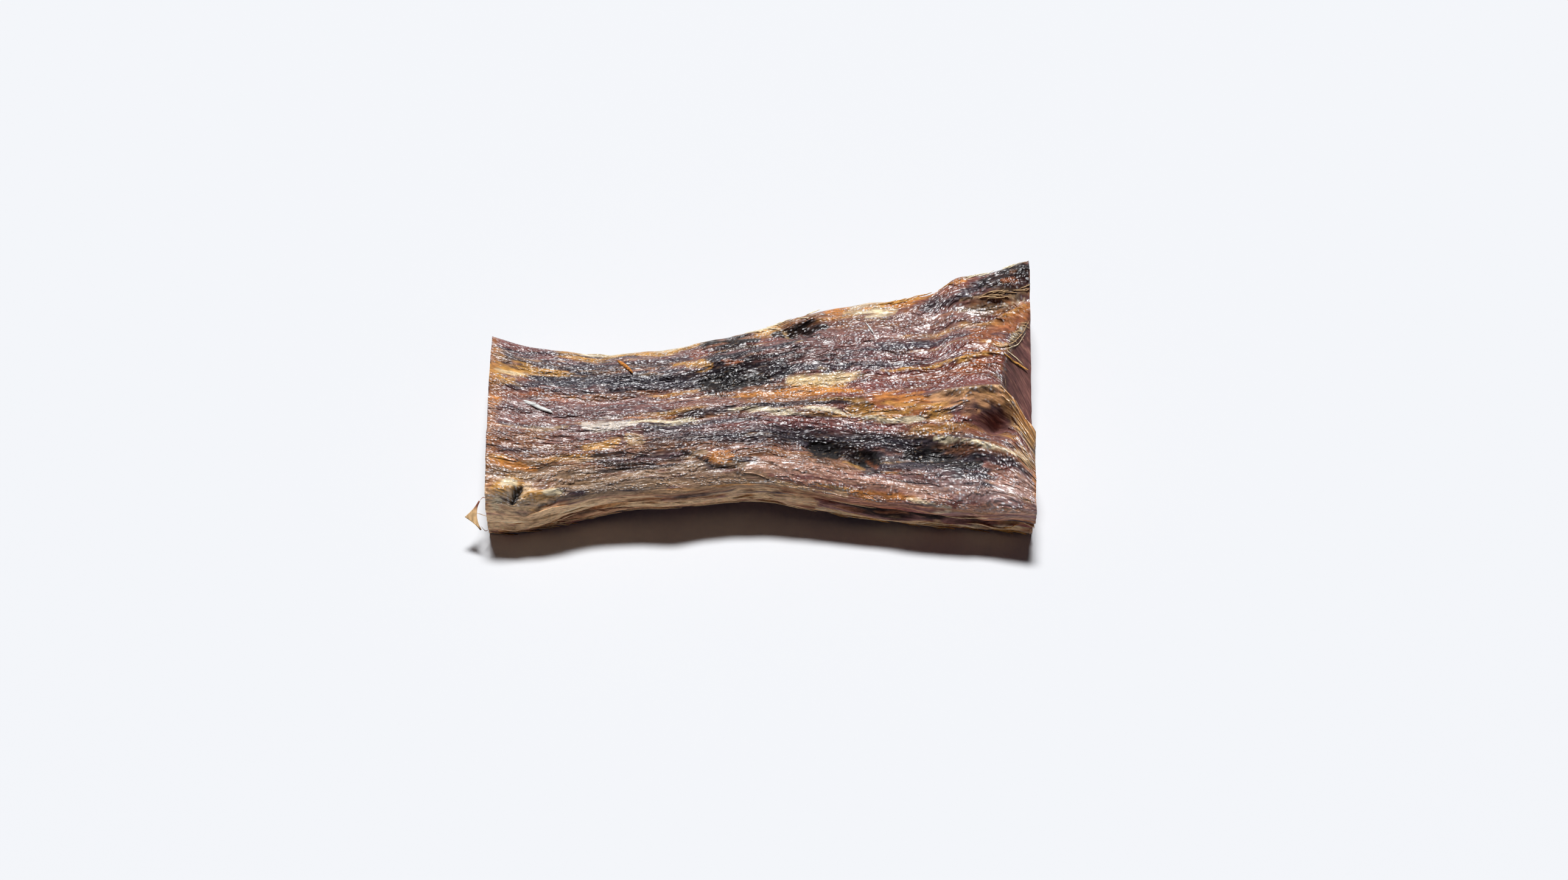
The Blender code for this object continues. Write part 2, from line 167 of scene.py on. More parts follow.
NEAR_ROUNDING = 0.42
FAR_ROUNDING = 0.30
FOOT_ROUNDING = 0.20
GRAIN_START = ((0.0, -12.0), (0.31, -4.2), (0.585, 2.8), (0.80, 8.4), (1.0, 13.0))
ACROSS = 9.5  # the width over which the grain is measured, whatever the chip's own width
UPRIGHT = 3.0  # the same for its height
NOISE_SIZE = 256
CAGE_CUTS = {0: (2, 99), 1: (1, 59), 2: (27,)}  # how often the cube is cut along X, Y and Z, and cut again
RIM = 1e-4  # what lies this near to the cube's own faces is on them
SHARP_ANGLE = math.radians(50)


def smooth_through(points, x):
    """A smooth curve through the (x, value) points, read at each x."""
    at, value = np.array(points).T
    slope = np.gradient(value, at)
    i = np.clip(np.searchsorted(at, x) - 1, 0, len(at) - 2)
    step = at[i + 1] - at[i]
    t = np.clip((x - at[i]) / step, 0, 1)
    start = value[i] * (1 + 2 * t) * (1 - t) ** 2 + slope[i] * step * t * (1 - t) ** 2
    end = value[i + 1] * (3 - 2 * t) * t**2 - slope[i + 1] * step * t**2 * (1 - t)
    return start + end


def rise(value, low, high):
    """0 below low, 1 above high, and an S-shaped step between them."""
    t = np.clip((value - low) / (high - low), 0, 1)
    return t * t * (3 - 2 * t)


def grain_noise(seed, along, across, cell_along, cell_across):
    """Seeded noise from -1 to 1 on a grid of cells, drawn out along the grain."""
    grid = np.random.default_rng(seed).uniform(-1, 1, (NOISE_SIZE, NOISE_SIZE))
    u, v = along / cell_along, across / cell_across
    i, j = np.floor(u).astype(int), np.floor(v).astype(int)
    s, t = rise(u - i, 0, 1), rise(v - j, 0, 1)
    left, right = i % NOISE_SIZE, (i + 1) % NOISE_SIZE
    near, far = j % NOISE_SIZE, (j + 1) % NOISE_SIZE
    low = grid[left, near] * (1 - s) + grid[right, near] * s
    high = grid[left, far] * (1 - s) + grid[right, far] * s
    return low * (1 - t) + high * t


def along_path(x, y, path):
    """For each point: its distance to the path, the share of the path behind it, and its side (+1 left)."""
    distance = np.full(np.shape(x), np.inf)
    share = np.zeros(np.shape(x))
    side = np.ones(np.shape(x))
    lengths = [math.dist(a, b) for a, b in zip(path, path[1:])]
    for i, ((ax, ay), (bx, by)) in enumerate(zip(path, path[1:])):
        dx, dy = bx - ax, by - ay
        t = np.clip(((x - ax) * dx + (y - ay) * dy) / lengths[i] ** 2, 0, 1)
        off = np.hypot(x - ax - t * dx, y - ay - t * dy)
        closer = off < distance
        distance = np.where(closer, off, distance)
        share = np.where(closer, (sum(lengths[:i]) + t * lengths[i]) / sum(lengths), share)
        side = np.where(closer, np.sign(dx * (y - ay) - dy * (x - ax)), side)
    return distance, share, side


def bell(distance, half_width):
    """1 in the middle, falling smoothly to nothing at about twice the half width."""
    return np.exp(-((distance / half_width) ** 2))


def dip(x, y, middle, radii, depth):
    """An oval dip that is depth deep in its middle."""
    return depth * bell(np.hypot((x - middle[0]) / radii[0], (y - middle[1]) / radii[1]), 1)


def add_crest(x, y, z):
    """Raises the crest and its rim, sinks the hollow inside its curl and cuts the facet behind it."""
    distance, share, side = along_path(x, y, CREST)
    grown = rise(share, 0, CREST_GROWTH)
    near_slope = CREST_NEAR_SLOPE * (side < 0) * (1 - 0.5 * rise(x, 9.3, 10.6)) * (1 - rise(x, 11.2, 12.0))
    z = z + CREST_HEIGHT * grown * bell(distance, CREST_HALF_WIDTH + near_slope)
    z = z - dip(x, y, HOLLOW, HOLLOW_RADII, HOLLOW_DEPTH) - dip(x, y, DARK_POCKET, POCKET_RADII, POCKET_DEPTH)
    z = z + CREST_LIP[0] * grown * bell(distance, CREST_LIP[1])
    facet = FACET_POINT[2] + FACET_SLOPE[0] * (x - FACET_POINT[0]) + FACET_SLOPE[1] * (y - FACET_POINT[1])
    past_border = x - smooth_through(FACET_BORDER, y)
    behind = rise(side * distance, 0, FACET_WALL) * rise(past_border, -FACET_FADE, FACET_FADE)
    return z + behind * np.minimum(facet - z, 0), behind


def follow_grain(b, x):
    """Bends the lines that run along the chip, so that the middle one follows the crest."""
    middle = smooth_through(MIDDLE_GRAIN, x)
    return np.where(b < 0.5, 2 * b * middle, 1 - 2 * (1 - b) * (1 - middle))


def top_height(x, y, v, b):
    """Height of the top at x, y, and how much of each point is on the facet behind the crest."""
    near, far = smooth_through(NEAR_HEIGHT, x), smooth_through(FAR_HEIGHT, x)
    z = near + (far - near) * v + smooth_through(CROWN, x) * (1 - np.abs(2 * v - 1) ** CROWN_POWER)
    for path, height, half_width in TOP_STROKES.values():
        z = z + height * bell(along_path(x, y, path)[0], half_width)
    for seed, height, length, width in RIBS:
        z = z + height * grain_noise(seed, x, b, length, width)
    for seed, height, length, width in LEDGES:
        z = z + height * rise(grain_noise(seed, x, b, length, width), 0.0, 0.15)
    return add_crest(x, y, z)


def under_height(x, v):
    """Height of the underside: the arch with its ribs, cut off flat where it meets the ground."""
    arch = smooth_through(ARCH, x) * (1 - (1 - ARCH_AT_FAR_SIDE) * v)
    clear = rise(arch, 0, 0.4)
    for seed, height, length, width in UNDER_RIBS:
        arch = arch + height * grain_noise(seed, x, v, length, width) * clear
    return np.maximum(arch, 0)


def round_corner(across, up, radius):
    """Moves points within radius of a corner from a square corner to a round one, in millimetres."""
    s, t = np.maximum(radius - across, 0), np.maximum(radius - up, 0)
    reach = np.maximum(s, t)
    angle = math.pi / 4 * np.minimum(s, t) / np.maximum(reach, 1e-9)
    long_part, short_part = reach * np.cos(angle), reach * np.sin(angle)
    inside = (s > 0) & (t > 0)
    new_s = np.where(s >= t, long_part, short_part)
    new_t = np.where(s >= t, short_part, long_part)
    return np.where(inside, radius - new_s, across), np.where(inside, radius - new_t, up)


def rounded_section(v, w, width, height):
    """Rounds the four corners of the section. v runs from near to far and w from underside to top."""
    across, up = v * width, w * height
    across, down = round_corner(across, height - up, NEAR_ROUNDING)
    back, down = round_corner(width - across, down, FAR_ROUNDING)
    back, up = round_corner(back, height - down, FOOT_ROUNDING)
    across, up = round_corner(width - back, up, FOOT_ROUNDING)
    return across / width, up / height


def side_relief(x, w, shift):
    """Torn fibres on a long side, fading out at its top and its foot."""
    relief = 0
    for seed, height, length, width in SIDE_RIBS:
        relief = relief + height * grain_noise(seed + shift, x, w, length, width)
    return relief * np.sin(math.pi * np.clip(w, 0, 1)) ** 0.6


def near_side(x, w):
    """The near side's y at height share w, with the long groove in it."""
    y = smooth_through(NEAR_FOOT, x) * (1 - w) + smooth_through(NEAR_EDGE, x) * w + side_relief(x, w, 0)
    groove = smooth_through(SIDE_GROOVE, x)
    z = w * smooth_through(NEAR_HEIGHT, x)
    y = y + SIDE_GROOVE_DEPTH * rise(x, *SIDE_GROOVE_START) * bell(z - groove, SIDE_GROOVE_HALF_WIDTH)
    return y + FOOT_GROOVE_DEPTH * bell(along_path(x, z, FOOT_GROOVE)[0], FOOT_GROOVE_HALF_WIDTH)


def far_side(x, w):
    """The far side's y at height share w, drawn in towards its foot."""
    return smooth_through(FAR_EDGE, x) - smooth_through(FAR_FOOT_INSET, x) * (1 - w) + side_relief(x, w, 1)


def chip_surface(a, b, c):
    """Maps points of the unit cube onto the chip. Returns x, y, z, the plan's own y and the facet's share."""
    x = smooth_through(GRAIN_START, a)
    width = smooth_through(FAR_EDGE, x) - smooth_through(NEAR_EDGE, x)
    v, w = rounded_section(follow_grain(b, x), c, width, smooth_through(NEAR_HEIGHT, x))
    near, far = near_side(x, w), far_side(x, w)
    y = near + (far - near) * v
    top_y = smooth_through(NEAR_EDGE, x) + width * v
    low = under_height(x, v)
    high, facet = top_height(x, top_y, v, b)
    z = low + (high - low) * w
    lip = (1 - rise(w, *LIP_TOP)) * (1 - rise(v, *LIP_REACH)) * (a > 1 - RIM)
    marks = SAW_RELIEF * (1 + grain_noise(51, y + 0.35 * z, z, 0.9, 0.13)) / 2
    x = x - LIP_INSET * lip + marks * ((a < RIM) * 1.0 - (a > 1 - RIM) * 1.0)
    return x, y, z, top_y, facet


def cut_cells(axis, *cuts):
    """In edit mode, cuts the cube's cells along one axis, once for each number of cuts."""
    for number in cuts:
        cage = bmesh.from_edit_mesh(bpy.context.object.data)
        for edge in cage.edges:
            run = edge.verts[0].co - edge.verts[1].co
            edge.select_set(abs(run[axis]) > abs(run[axis - 1]) + abs(run[axis - 2]))
        bpy.ops.mesh.subdivide(number_cuts=number)


def points_of(piece):
    """Where the piece's points are, in its mesh's own units."""
    points = np.zeros(len(piece.data.vertices) * 3)
    piece.data.vertices.foreach_get("co", points)
    return points.reshape(-1, 3)


def move_points(piece, points):
    """Puts the piece's points at these places, given in millimetres."""
    piece.data.vertices.foreach_set("co", (points * MM).ravel())
    piece.data.update()


def corners_of(piece):
    """For each corner of each face in turn, the point it stands on."""
    corners = np.zeros(len(piece.data.loops), int)
    piece.data.loops.foreach_get("vertex_index", corners)
    return corners


def map_grain(piece, places):
    """Stores where each corner lies on the map of the grain, in millimetres."""
    piece.data.uv_layers["grain"].data.foreach_set("uv", places.ravel())


bpy.ops.object.select_all(action="DESELECT")
bpy.ops.mesh.primitive_cube_add(size=1)
chip = bpy.context.object
chip.name = "split_wood"
bpy.ops.object.mode_set(mode="EDIT")
bpy.ops.mesh.select_mode(type="EDGE")
for axis, cuts in CAGE_CUTS.items():
    cut_cells(axis, *cuts)
bpy.ops.object.mode_set(mode="OBJECT")

along, across, up = points_of(chip).T + 0.5
x, y, z, plan_y, on_facet = chip_surface(along, across, up)
lowest, highest = np.array(cad_box[0]) / MM, np.array(cad_box[1]) / MM
wood_places = np.clip(np.stack((x, y, z), axis=1), lowest, highest)
move_points(chip, wood_places)

# Which of the six sides each face belongs to: the sawn ends are the two across the grain.
quads = corners_of(chip).reshape(-1, 4)
face_a, face_b, face_c = along[quads], across[quads], up[quads]
sawn = (face_a.max(1) < RIM) | (face_a.min(1) > 1 - RIM)
face_near, face_far = face_b.max(1) < RIM, face_b.min(1) > 1 - RIM
face_under = face_c.max(1) < RIM

# The grain's own map, in millimetres: along the grain, and round the section across it.
round_section = face_b * ACROSS
round_section[face_near] = -(1 - face_c[face_near]) * UPRIGHT
round_section[face_far] = ACROSS + (1 - face_c[face_far]) * UPRIGHT
round_section[face_under] = 2 * ACROSS + UPRIGHT - face_b[face_under] * ACROSS
grain_u, grain_v = x[quads], round_section
grain_u[sawn], grain_v[sawn] = y[quads][sawn], z[quads][sawn]
chip.data.uv_layers.new(name="grain")
map_grain(chip, np.stack((grain_u.ravel(), grain_v.ravel()), axis=1))
chip.data.polygons.foreach_set("material_index", sawn.astype(int))
bpy.ops.object.shade_smooth_by_angle(angle=SHARP_ANGLE)
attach(chip, "root")
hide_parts("agarwood_chip")

# The wood's colour comes from its resin. Clean wood is cream and tan, half soaked wood is amber, orange and
# rust, and soaked wood is maroon, slate and black. Each streak lies along the grain, in the wood's surface.

MAROON = (0.215, 0.070, 0.060)
PLUM = (0.225, 0.108, 0.098)
BROWN = (0.300, 0.135, 0.070)
GREY_BROWN = (0.350, 0.225, 0.140)
SLATE = (0.043, 0.038, 0.052)
BLACK = (0.010, 0.008, 0.009)
RUST = (0.380, 0.115, 0.040)
ORANGE = (0.640, 0.240, 0.045)
AMBER = (0.660, 0.330, 0.075)
TAN = (0.620, 0.410, 0.220)
PINK_TAN = (0.540, 0.290, 0.205)
CREAM = (0.940, 0.800, 0.540)
OLIVE = (0.210, 0.175, 0.105)
STRAW = (0.860, 0.640, 0.340)
ROSE = (0.360, 0.230, 0.220)
BARE = (0.840, 0.730, 0.620)
DRY = (0.840, 0.570, 0.330)
INK = (0.028, 0.023, 0.030)
RED_BROWN = (0.310, 0.100, 0.042)
DEEP_RUST = (0.230, 0.066, 0.034)
WARM_BROWN = (0.520, 0.270, 0.150)
HONEY = (0.900, 0.520, 0.200)
PEACH = (0.820, 0.420, 0.190)

# Long bands first, then the streaks and spots on them: colour, strength, half width, path of (x, y).
BANDS = (
    (PLUM, 0.7, 1.30, ((-12.0, -1.3), (-8.2, -1.6), (-5.4, -1.6))),
    (PLUM, 0.6, 0.60, ((-9.0, -2.9), (-6.0, -2.8))),
    (GREY_BROWN, 0.8, 0.75, (
        (-12.0, -4.9), (-9.0, -4.8), (-6.3, -4.8), (-3.5, -4.8), (-0.8, -4.7), (0.5, -4.6),
    )),
    (SLATE, 0.8, 0.30, ((-11.2, 1.5), (-9.6, 1.1), (-7.8, 0.9), (-6.1, 1.1), (-4.5, 1.3), (-3.1, 1.4))),
    (SLATE, 0.9, 0.50, ((-9.8, 0.25), (-8.2, 0.3), (-6.3, 0.2), (-4.5, 0.3), (-2.6, 0.35), (-0.8, 0.3))),
    (INK, 0.95, 0.90, ((-1.2, 0.8), (1.0, 0.8), (2.4, 1.3), (3.6, 1.6))),
    (SLATE, 0.7, 0.45, ((-4.5, -2.5), (-2.6, -2.7), (-0.8, -2.8), (0.7, -2.8), (2.4, -2.5))),
    (SLATE, 0.6, 0.45, ((-6.8, -3.9), (-4.8, -3.9), (-3.2, -3.6))),
    (SLATE, 0.6, 0.42, (
        (0.2, -2.4), (1.6, -2.3), (3.0, -2.4), (4.2, -2.4), (5.4, -2.6), (6.7, -2.8), (7.8, -2.8),
    )),
    (PLUM, 0.8, 1.00, ((3.0, 2.2), (6.3, 2.7), (8.2, 3.2), (9.6, 3.6))),
    (SLATE, 0.5, 0.25, ((4.2, 1.3), (6.2, 1.7), (8.4, 2.2))),
    (MAROON, 0.8, 0.75, ((5.2, 0.0), (7.6, 0.0), (9.5, 0.1), (11.1, 0.2))),
    (DEEP_RUST, 0.80, 0.50, ((8.0, 0.3), (9.5, 0.6), (11.3, 1.0))),
    (PLUM, 0.8, 0.35, ((-5.2, -0.95), (-2.5, -0.95), (-0.6, -0.95))),
    (AMBER, 0.7, 0.30, ((4.8, -1.35), (7.0, -1.6), (9.0, -1.6))),
    (HONEY, 0.85, 0.34, ((11.9, -1.1), (12.4, -2.0), (12.9, -2.9))),
    (SLATE, 0.8, 0.40, ((8.2, 4.1), (9.6, 4.6), (10.6, 4.9))),
    (ROSE, 0.9, 0.75, ((7.6, -4.6), (8.9, -4.9), (10.3, -5.2), (13.2, -5.4))),
    (PINK_TAN, 0.5, 0.45, ((10.9, -4.6), (12.0, -4.9), (13.2, -5.2))),
    (SLATE, 0.9, 0.62, (
        (2.8, -3.1), (3.9, -3.3), (5.0, -3.7), (6.7, -3.5), (8.5, -3.6), (9.8, -3.8), (10.6, -4.4),
    )),
    (BROWN, 0.7, 0.35, ((0.8, -3.5), (2.5, -3.65), (4.2, -4.0))),
    (SLATE, 0.8, 0.38, ((7.0, -3.95), (9.0, -4.15), (10.6, -4.6))),
    (OLIVE, 0.5, 0.26, ((9.8, 4.05), (11.0, 3.95), (12.4, 4.2))),
    (RED_BROWN, 0.95, 0.70, ((10.7, 2.6), (11.9, 3.0), (13.1, 3.6))),
    (PINK_TAN, 0.7, 0.32, (
        (0.2, -4.2), (1.6, -4.2), (3.4, -4.45), (4.8, -4.6), (6.2, -4.8), (7.1, -5.1), (8.7, -5.6),
    )),
)
STREAKS = (
    (MAROON, 0.8, 0.25, ((-12.0, 2.4), (-11.1, 2.3), (-9.2, 1.9))),
    (BLACK, 0.95, 0.42, ((-2.4, 2.25), (-1.1, 2.45), (0.4, 2.45))),
    (BLACK, 0.8, 0.16, ((-1.7, 1.8), (-0.3, 2.0), (0.7, 1.9))),
    (BLACK, 0.95, 0.48, ((-2.4, 0.0), (-0.8, 0.12), (0.9, 0.20))),
    (BLACK, 0.8, 0.16, ((-1.5, 0.0), (-0.2, 0.1))),
    (AMBER, 0.9, 0.40, ((-12.2, 1.0), (-11.3, 0.8), (-10.0, 0.7))),
    (AMBER, 0.7, 0.10, ((-10.4, 0.75), (-9.2, 0.7), (-8.0, 0.6))),
    (CREAM, 0.6, 0.12, ((-11.8, 0.75), (-10.4, 0.6))),
    (AMBER, 0.8, 0.18, ((-3.6, 1.0), (-2.6, 0.95), (-1.7, 0.9))),
    (RUST, 0.8, 0.10, ((-1.4, 1.2), (-0.3, 1.1))),
    (ORANGE, 0.7, 0.16, ((-12.0, -1.0), (-11.4, -1.1))),
    (AMBER, 0.7, 0.22, ((-12.3, 0.25), (-11.6, 0.2), (-10.8, 0.1))),
    (RUST, 0.6, 0.20, ((-11.6, -0.6), (-9.6, -0.5), (-8.4, -0.9))),
    (TAN, 0.5, 0.08, ((-11.5, -2.4), (-9.4, -2.5), (-8.2, -2.3))),
    (BARE, 0.85, 0.27, ((-7.7, -2.3), (-6.7, -2.25), (-5.1, -2.15))),
    (CREAM, 0.8, 0.09, ((-5.6, -2.1), (-4.5, -2.05), (-3.5, -2.05), (-2.4, -1.9))),
    (ORANGE, 0.6, 0.06, ((-5.8, -1.8), (-4.5, -1.9), (-3.3, -1.85))),
    (AMBER, 0.8, 0.18, ((-7.7, -3.3), (-6.7, -3.3), (-5.9, -3.05))),
    (TAN, 0.7, 0.20, ((-5.7, -2.85), (-4.8, -3.15))),
    (ORANGE, 0.8, 0.18, ((-11.8, -4.1), (-10.7, -4.2), (-9.6, -4.3))),
    (AMBER, 0.6, 0.09, ((-12.0, -3.8), (-11.0, -3.9))),
    (BLACK, 0.6, 0.11, ((-7.0, -4.0), (-5.8, -4.1), (-4.8, -4.05))),
    # Pale dry wood on the near left corner, made paler still as painted light where the rounded corner faces
    # away from the key.
    (DRY, 0.9, 0.50, ((-12.3, -5.7), (-10.8, -5.6), (-9.2, -5.75))),
    (AMBER, 0.8, 0.28, ((-11.7, -5.4), (-10.8, -5.2), (-10.2, -5.0))),
    (CREAM, 0.8, 0.14, ((-11.3, -5.25), (-10.5, -5.15))),
    (CREAM, 0.7, 0.12, ((-11.9, -5.95), (-11.2, -5.85))),
    (AMBER, 0.9, 0.24, ((-10.3, -5.70), (-9.3, -5.52), (-8.6, -5.38))),
    (CREAM, 0.9, 0.11, ((-9.4, -5.45), (-8.5, -5.28))),
    (BROWN, 0.9, 0.14, ((-9.9, -5.18), (-8.8, -5.02))),
    # Painted shade in the corner pit and along the corner groove.
    (BLACK, 0.95, 0.13, ((-10.9, -6.0), (-10.3, -5.2))),
    (BLACK, 0.75, 0.06, ((-10.5, -6.3), (-9.5, -5.88), (-8.7, -5.60))),
    (ORANGE, 0.8, 0.20, ((-1.9, -3.8), (-0.7, -3.7))),
    (TAN, 0.6, 0.12, ((-2.8, -3.5), (-1.9, -3.5))),
    # Painted shade in the crack.
    (BLACK, 0.8, 0.05, ((-3.1, -3.6), (-2.2, -3.85), (-1.6, -4.2), (-0.6, -4.2))),
    (ORANGE, 0.9, 0.17, ((-0.6, -0.6), (0.8, -0.5), (2.2, -0.4), (4.1, -0.35), (5.8, -0.6))),
    (AMBER, 0.7, 0.26, ((1.7, 0.1), (3.0, 0.0), (4.4, -0.1))),
    (STRAW, 0.75, 0.28, ((1.6, 0.15), (3.4, 0.2), (5.2, 0.40))),
    (BLACK, 0.7, 0.06, ((4.9, 0.35), (6.1, 0.45))),
    (RUST, 0.8, 0.34, ((5.2, -0.9), (6.7, -1.1), (8.3, -1.2))),
    (ORANGE, 0.7, 0.20, ((5.6, -0.75), (7.2, -0.95), (8.4, -1.0))),
    # Orange wood on the crest's near wall, made brighter as painted light where the wall faces away from the
    # key.
    (PEACH, 0.85, 0.36, ((8.2, -1.05), (9.6, -1.05), (11.6, -1.0))),
    (AMBER, 0.6, 0.12, ((6.0, -1.2), (7.6, -1.4), (8.8, -1.3))),
    (CREAM, 0.8, 0.085, ((-1.0, -1.4), (0.8, -1.4), (1.6, -1.5), (3.9, -1.4), (5.1, -1.7))),
    (CREAM, 0.8, 0.14, ((5.1, -1.75), (6.7, -1.95), (8.0, -1.85))),
    (MAROON, 0.9, 0.14, ((0.2, -1.75), (3.0, -1.95), (4.8, -2.0), (5.9, -2.35), (7.4, -2.4))),
    (TAN, 0.5, 0.10, ((8.0, -1.9), (9.4, -2.1))),
    (BLACK, 0.95, 0.38, ((2.6, -3.05), (4.1, -3.3))),
    (BLACK, 0.95, 0.40, ((4.5, -3.65), (6.0, -3.75))),
    (BLACK, 0.95, 0.42, ((7.0, -3.35), (8.8, -3.6), (10.6, -3.95))),
    (BLACK, 0.85, 0.32, ((3.3, -3.15), (4.5, -3.2), (5.8, -3.4))),
    (PINK_TAN, 0.6, 0.20, ((0.3, -3.85), (2.0, -3.95), (3.8, -4.20))),
    (BROWN, 0.5, 0.10, ((2.4, -3.1), (2.9, -3.35))),
    (AMBER, 0.5, 0.09, ((4.2, -3.8), (4.7, -3.85), (5.3, -4.10))),
    (RUST, 0.5, 0.08, ((5.3, -3.5), (5.7, -3.9), (5.8, -4.2))),
    (CREAM, 0.85, 0.065, (
        (8.3, -2.75), (9.4, -2.82), (10.3, -2.95), (11.2, -3.3), (12.1, -3.75), (12.8, -4.1),
    )),
    (TAN, 0.6, 0.12, ((1.1, -4.75), (3.0, -5.1), (4.5, -5.25))),
    (ORANGE, 0.7, 0.12, ((4.3, -5.2), (6.2, -5.35), (7.6, -5.65))),
    (CREAM, 0.6, 0.09, ((7.1, -5.45), (8.2, -5.75), (9.2, -5.95))),
    (PINK_TAN, 0.8, 0.22, ((9.4, -5.9), (11.2, -6.1), (12.9, -6.3))),
    (AMBER, 0.8, 0.10, ((4.9, 4.0), (6.4, 4.45), (8.1, 4.6))),
    (TAN, 0.9, 0.30, ((4.3, 3.95), (5.6, 4.05), (6.8, 3.9))),
    (CREAM, 0.8, 0.18, ((4.8, 3.9), (5.8, 3.95), (6.4, 3.85))),
    (ORANGE, 0.45, 0.35, ((11.2, 3.3), (12.2, 3.7), (13.4, 4.2))),
    (BLACK, 0.80, 0.55, ((10.6, 4.95), (11.6, 5.4), (13.4, 5.9))),
    (BLACK, 0.75, 0.45, ((10.6, 4.9), (12.0, 5.0), (13.4, 5.2))),
    (BLACK, 0.8, 0.30, ((11.6, 5.9), (13.4, 6.2))),
    (RUST, 0.7, 0.14, ((11.6, 5.2), (12.4, 5.1))),
    (BROWN, 0.7, 0.12, ((12.0, 5.7), (12.4, 5.6))),
    (TAN, 0.7, 0.07, ((9.7, 4.4), (10.5, 4.4), (11.4, 4.4), (12.3, 4.6), (12.9, 4.75))),
    (CREAM, 0.5, 0.05, ((11.5, 4.15), (12.4, 4.35), (12.9, 4.5))),
    (ORANGE, 0.8, 0.14, ((9.3, 5.35), (10.1, 5.5))),
    (AMBER, 0.6, 0.07, ((10.9, 3.2), (12.4, 3.8), (12.9, 4.2))),
    # Painted shade in the rust groove.
    (BLACK, 0.7, 0.06, ((10.9, 3.45), (12.3, 4.05))),
    (AMBER, 0.9, 0.08, (
        (5.8, 0.75), (6.7, 0.65), (8.1, 0.7), (9.0, 1.0), (10.0, 1.3), (10.9, 1.45), (11.6, 1.55),
    )),
    (RUST, 0.8, 0.20, ((9.3, 0.65), (10.9, 0.95))),
    (ORANGE, 0.5, 0.09, ((9.8, 1.5), (10.9, 1.6))),
    (OLIVE, 0.6, 0.30, ((12.0, 1.7), (12.5, 2.5), (12.9, 3.2))),
    (CREAM, 0.7, 0.07, ((11.7, 1.8), (12.5, 2.7), (12.9, 3.2))),
    (CREAM, 0.6, 0.06, ((12.0, 1.2), (12.8, 1.3))),
    (BLACK, 0.95, 0.48, ((1.0, 2.85), (2.2, 3.05), (3.6, 3.00))),
    (TAN, 0.8, 0.08, ((1.0, 3.35), (1.5, 3.0), (1.8, 2.5))),
    (PLUM, 0.7, 0.30, ((9.3, -1.3), (10.4, -1.35))),
    (PLUM, 0.8, 0.40, ((10.6, -2.3), (12.1, -2.7))),
    (AMBER, 0.6, 0.10, ((10.2, -2.0), (11.3, -2.2), (12.3, -2.9))),
    (TAN, 0.7, 0.32, ((12.1, -3.3), (13.0, -4.1))),
    (ORANGE, 0.6, 0.10, ((12.9, -4.2), (13.0, -6.0))),
)

# Along the far edge the wood is half clean: (colour, strength, half width, where it starts and ends along X).
FAR_RIM = (
    (AMBER, 0.9, 0.60, (-9.2, -1.4)),
    (CREAM, 0.8, 0.28, (-8.2, -5.2)),
    (CREAM, 0.7, 0.24, (-4.6, -2.4)),
    (AMBER, 0.9, 0.65, (0.0, 1.7)),
    (AMBER, 0.8, 0.28, (1.4, 3.2)),
    (CREAM, 0.8, 0.38, (0.1, 1.4)),
    (ORANGE, 0.8, 0.50, (3.2, 9.0)),
    (CREAM, 0.7, 0.30, (4.4, 6.4)),
    (RUST, 0.8, 0.45, (8.6, 10.6)),
)

# The same on the upright near side, as (x, z) points.
NEAR_STREAKS = (
    (DRY, 0.9, 0.90, ((-14.0, 1.4), (-8.0, 1.5), (-4.0, 1.7))),
    (DRY, 0.8, 0.70, ((-7.0, 1.4), (-2.0, 1.5), (3.0, 1.5))),
    (WARM_BROWN, 0.8, 0.20, ((-12.0, 0.5), (-7.0, 0.9), (-2.0, 1.2))),
    # Painted shade along the foot groove.
    (BROWN, 0.9, 0.13, ((-9.4, 0.75), (-7.2, 1.15), (-6.0, 1.3))),
    (BLACK, 0.7, 0.06, ((-8.6, 0.95), (-7.0, 1.25))),
    (CREAM, 0.6, 0.10, ((-11.6, 1.4), (-9.0, 1.5), (-6.4, 1.9))),
    (AMBER, 0.6, 0.08, ((-11.5, 0.3), (-10.0, 0.4), (-8.8, 0.5))),
    (BROWN, 0.7, 0.08, ((-5.5, 2.0), (-3.4, 2.1), (-1.0, 2.1))),
    (TAN, 0.5, 0.07, ((-3.0, 1.7), (0.5, 1.8), (2.4, 1.9))),
    # Painted shade in the long groove of the near side.
    (BLACK, 0.9, 0.20, ((3.6, 1.65), (6.0, 1.45), (10.0, 1.25), (13.0, 1.15))),
    (RUST, 0.6, 0.12, ((3.4, 1.95), (7.0, 1.75), (12.0, 1.50))),
    (ORANGE, 0.7, 0.10, ((4.5, 0.95), (6.2, 0.85))),
    (CREAM, 0.6, 0.12, ((3.0, 1.1), (6.0, 0.75), (9.5, 0.7), (13.0, 0.75))),
    (TAN, 0.8, 0.30, ((2.6, 0.9), (6.0, 0.6), (9.5, 0.5), (13.0, 0.5))),
)

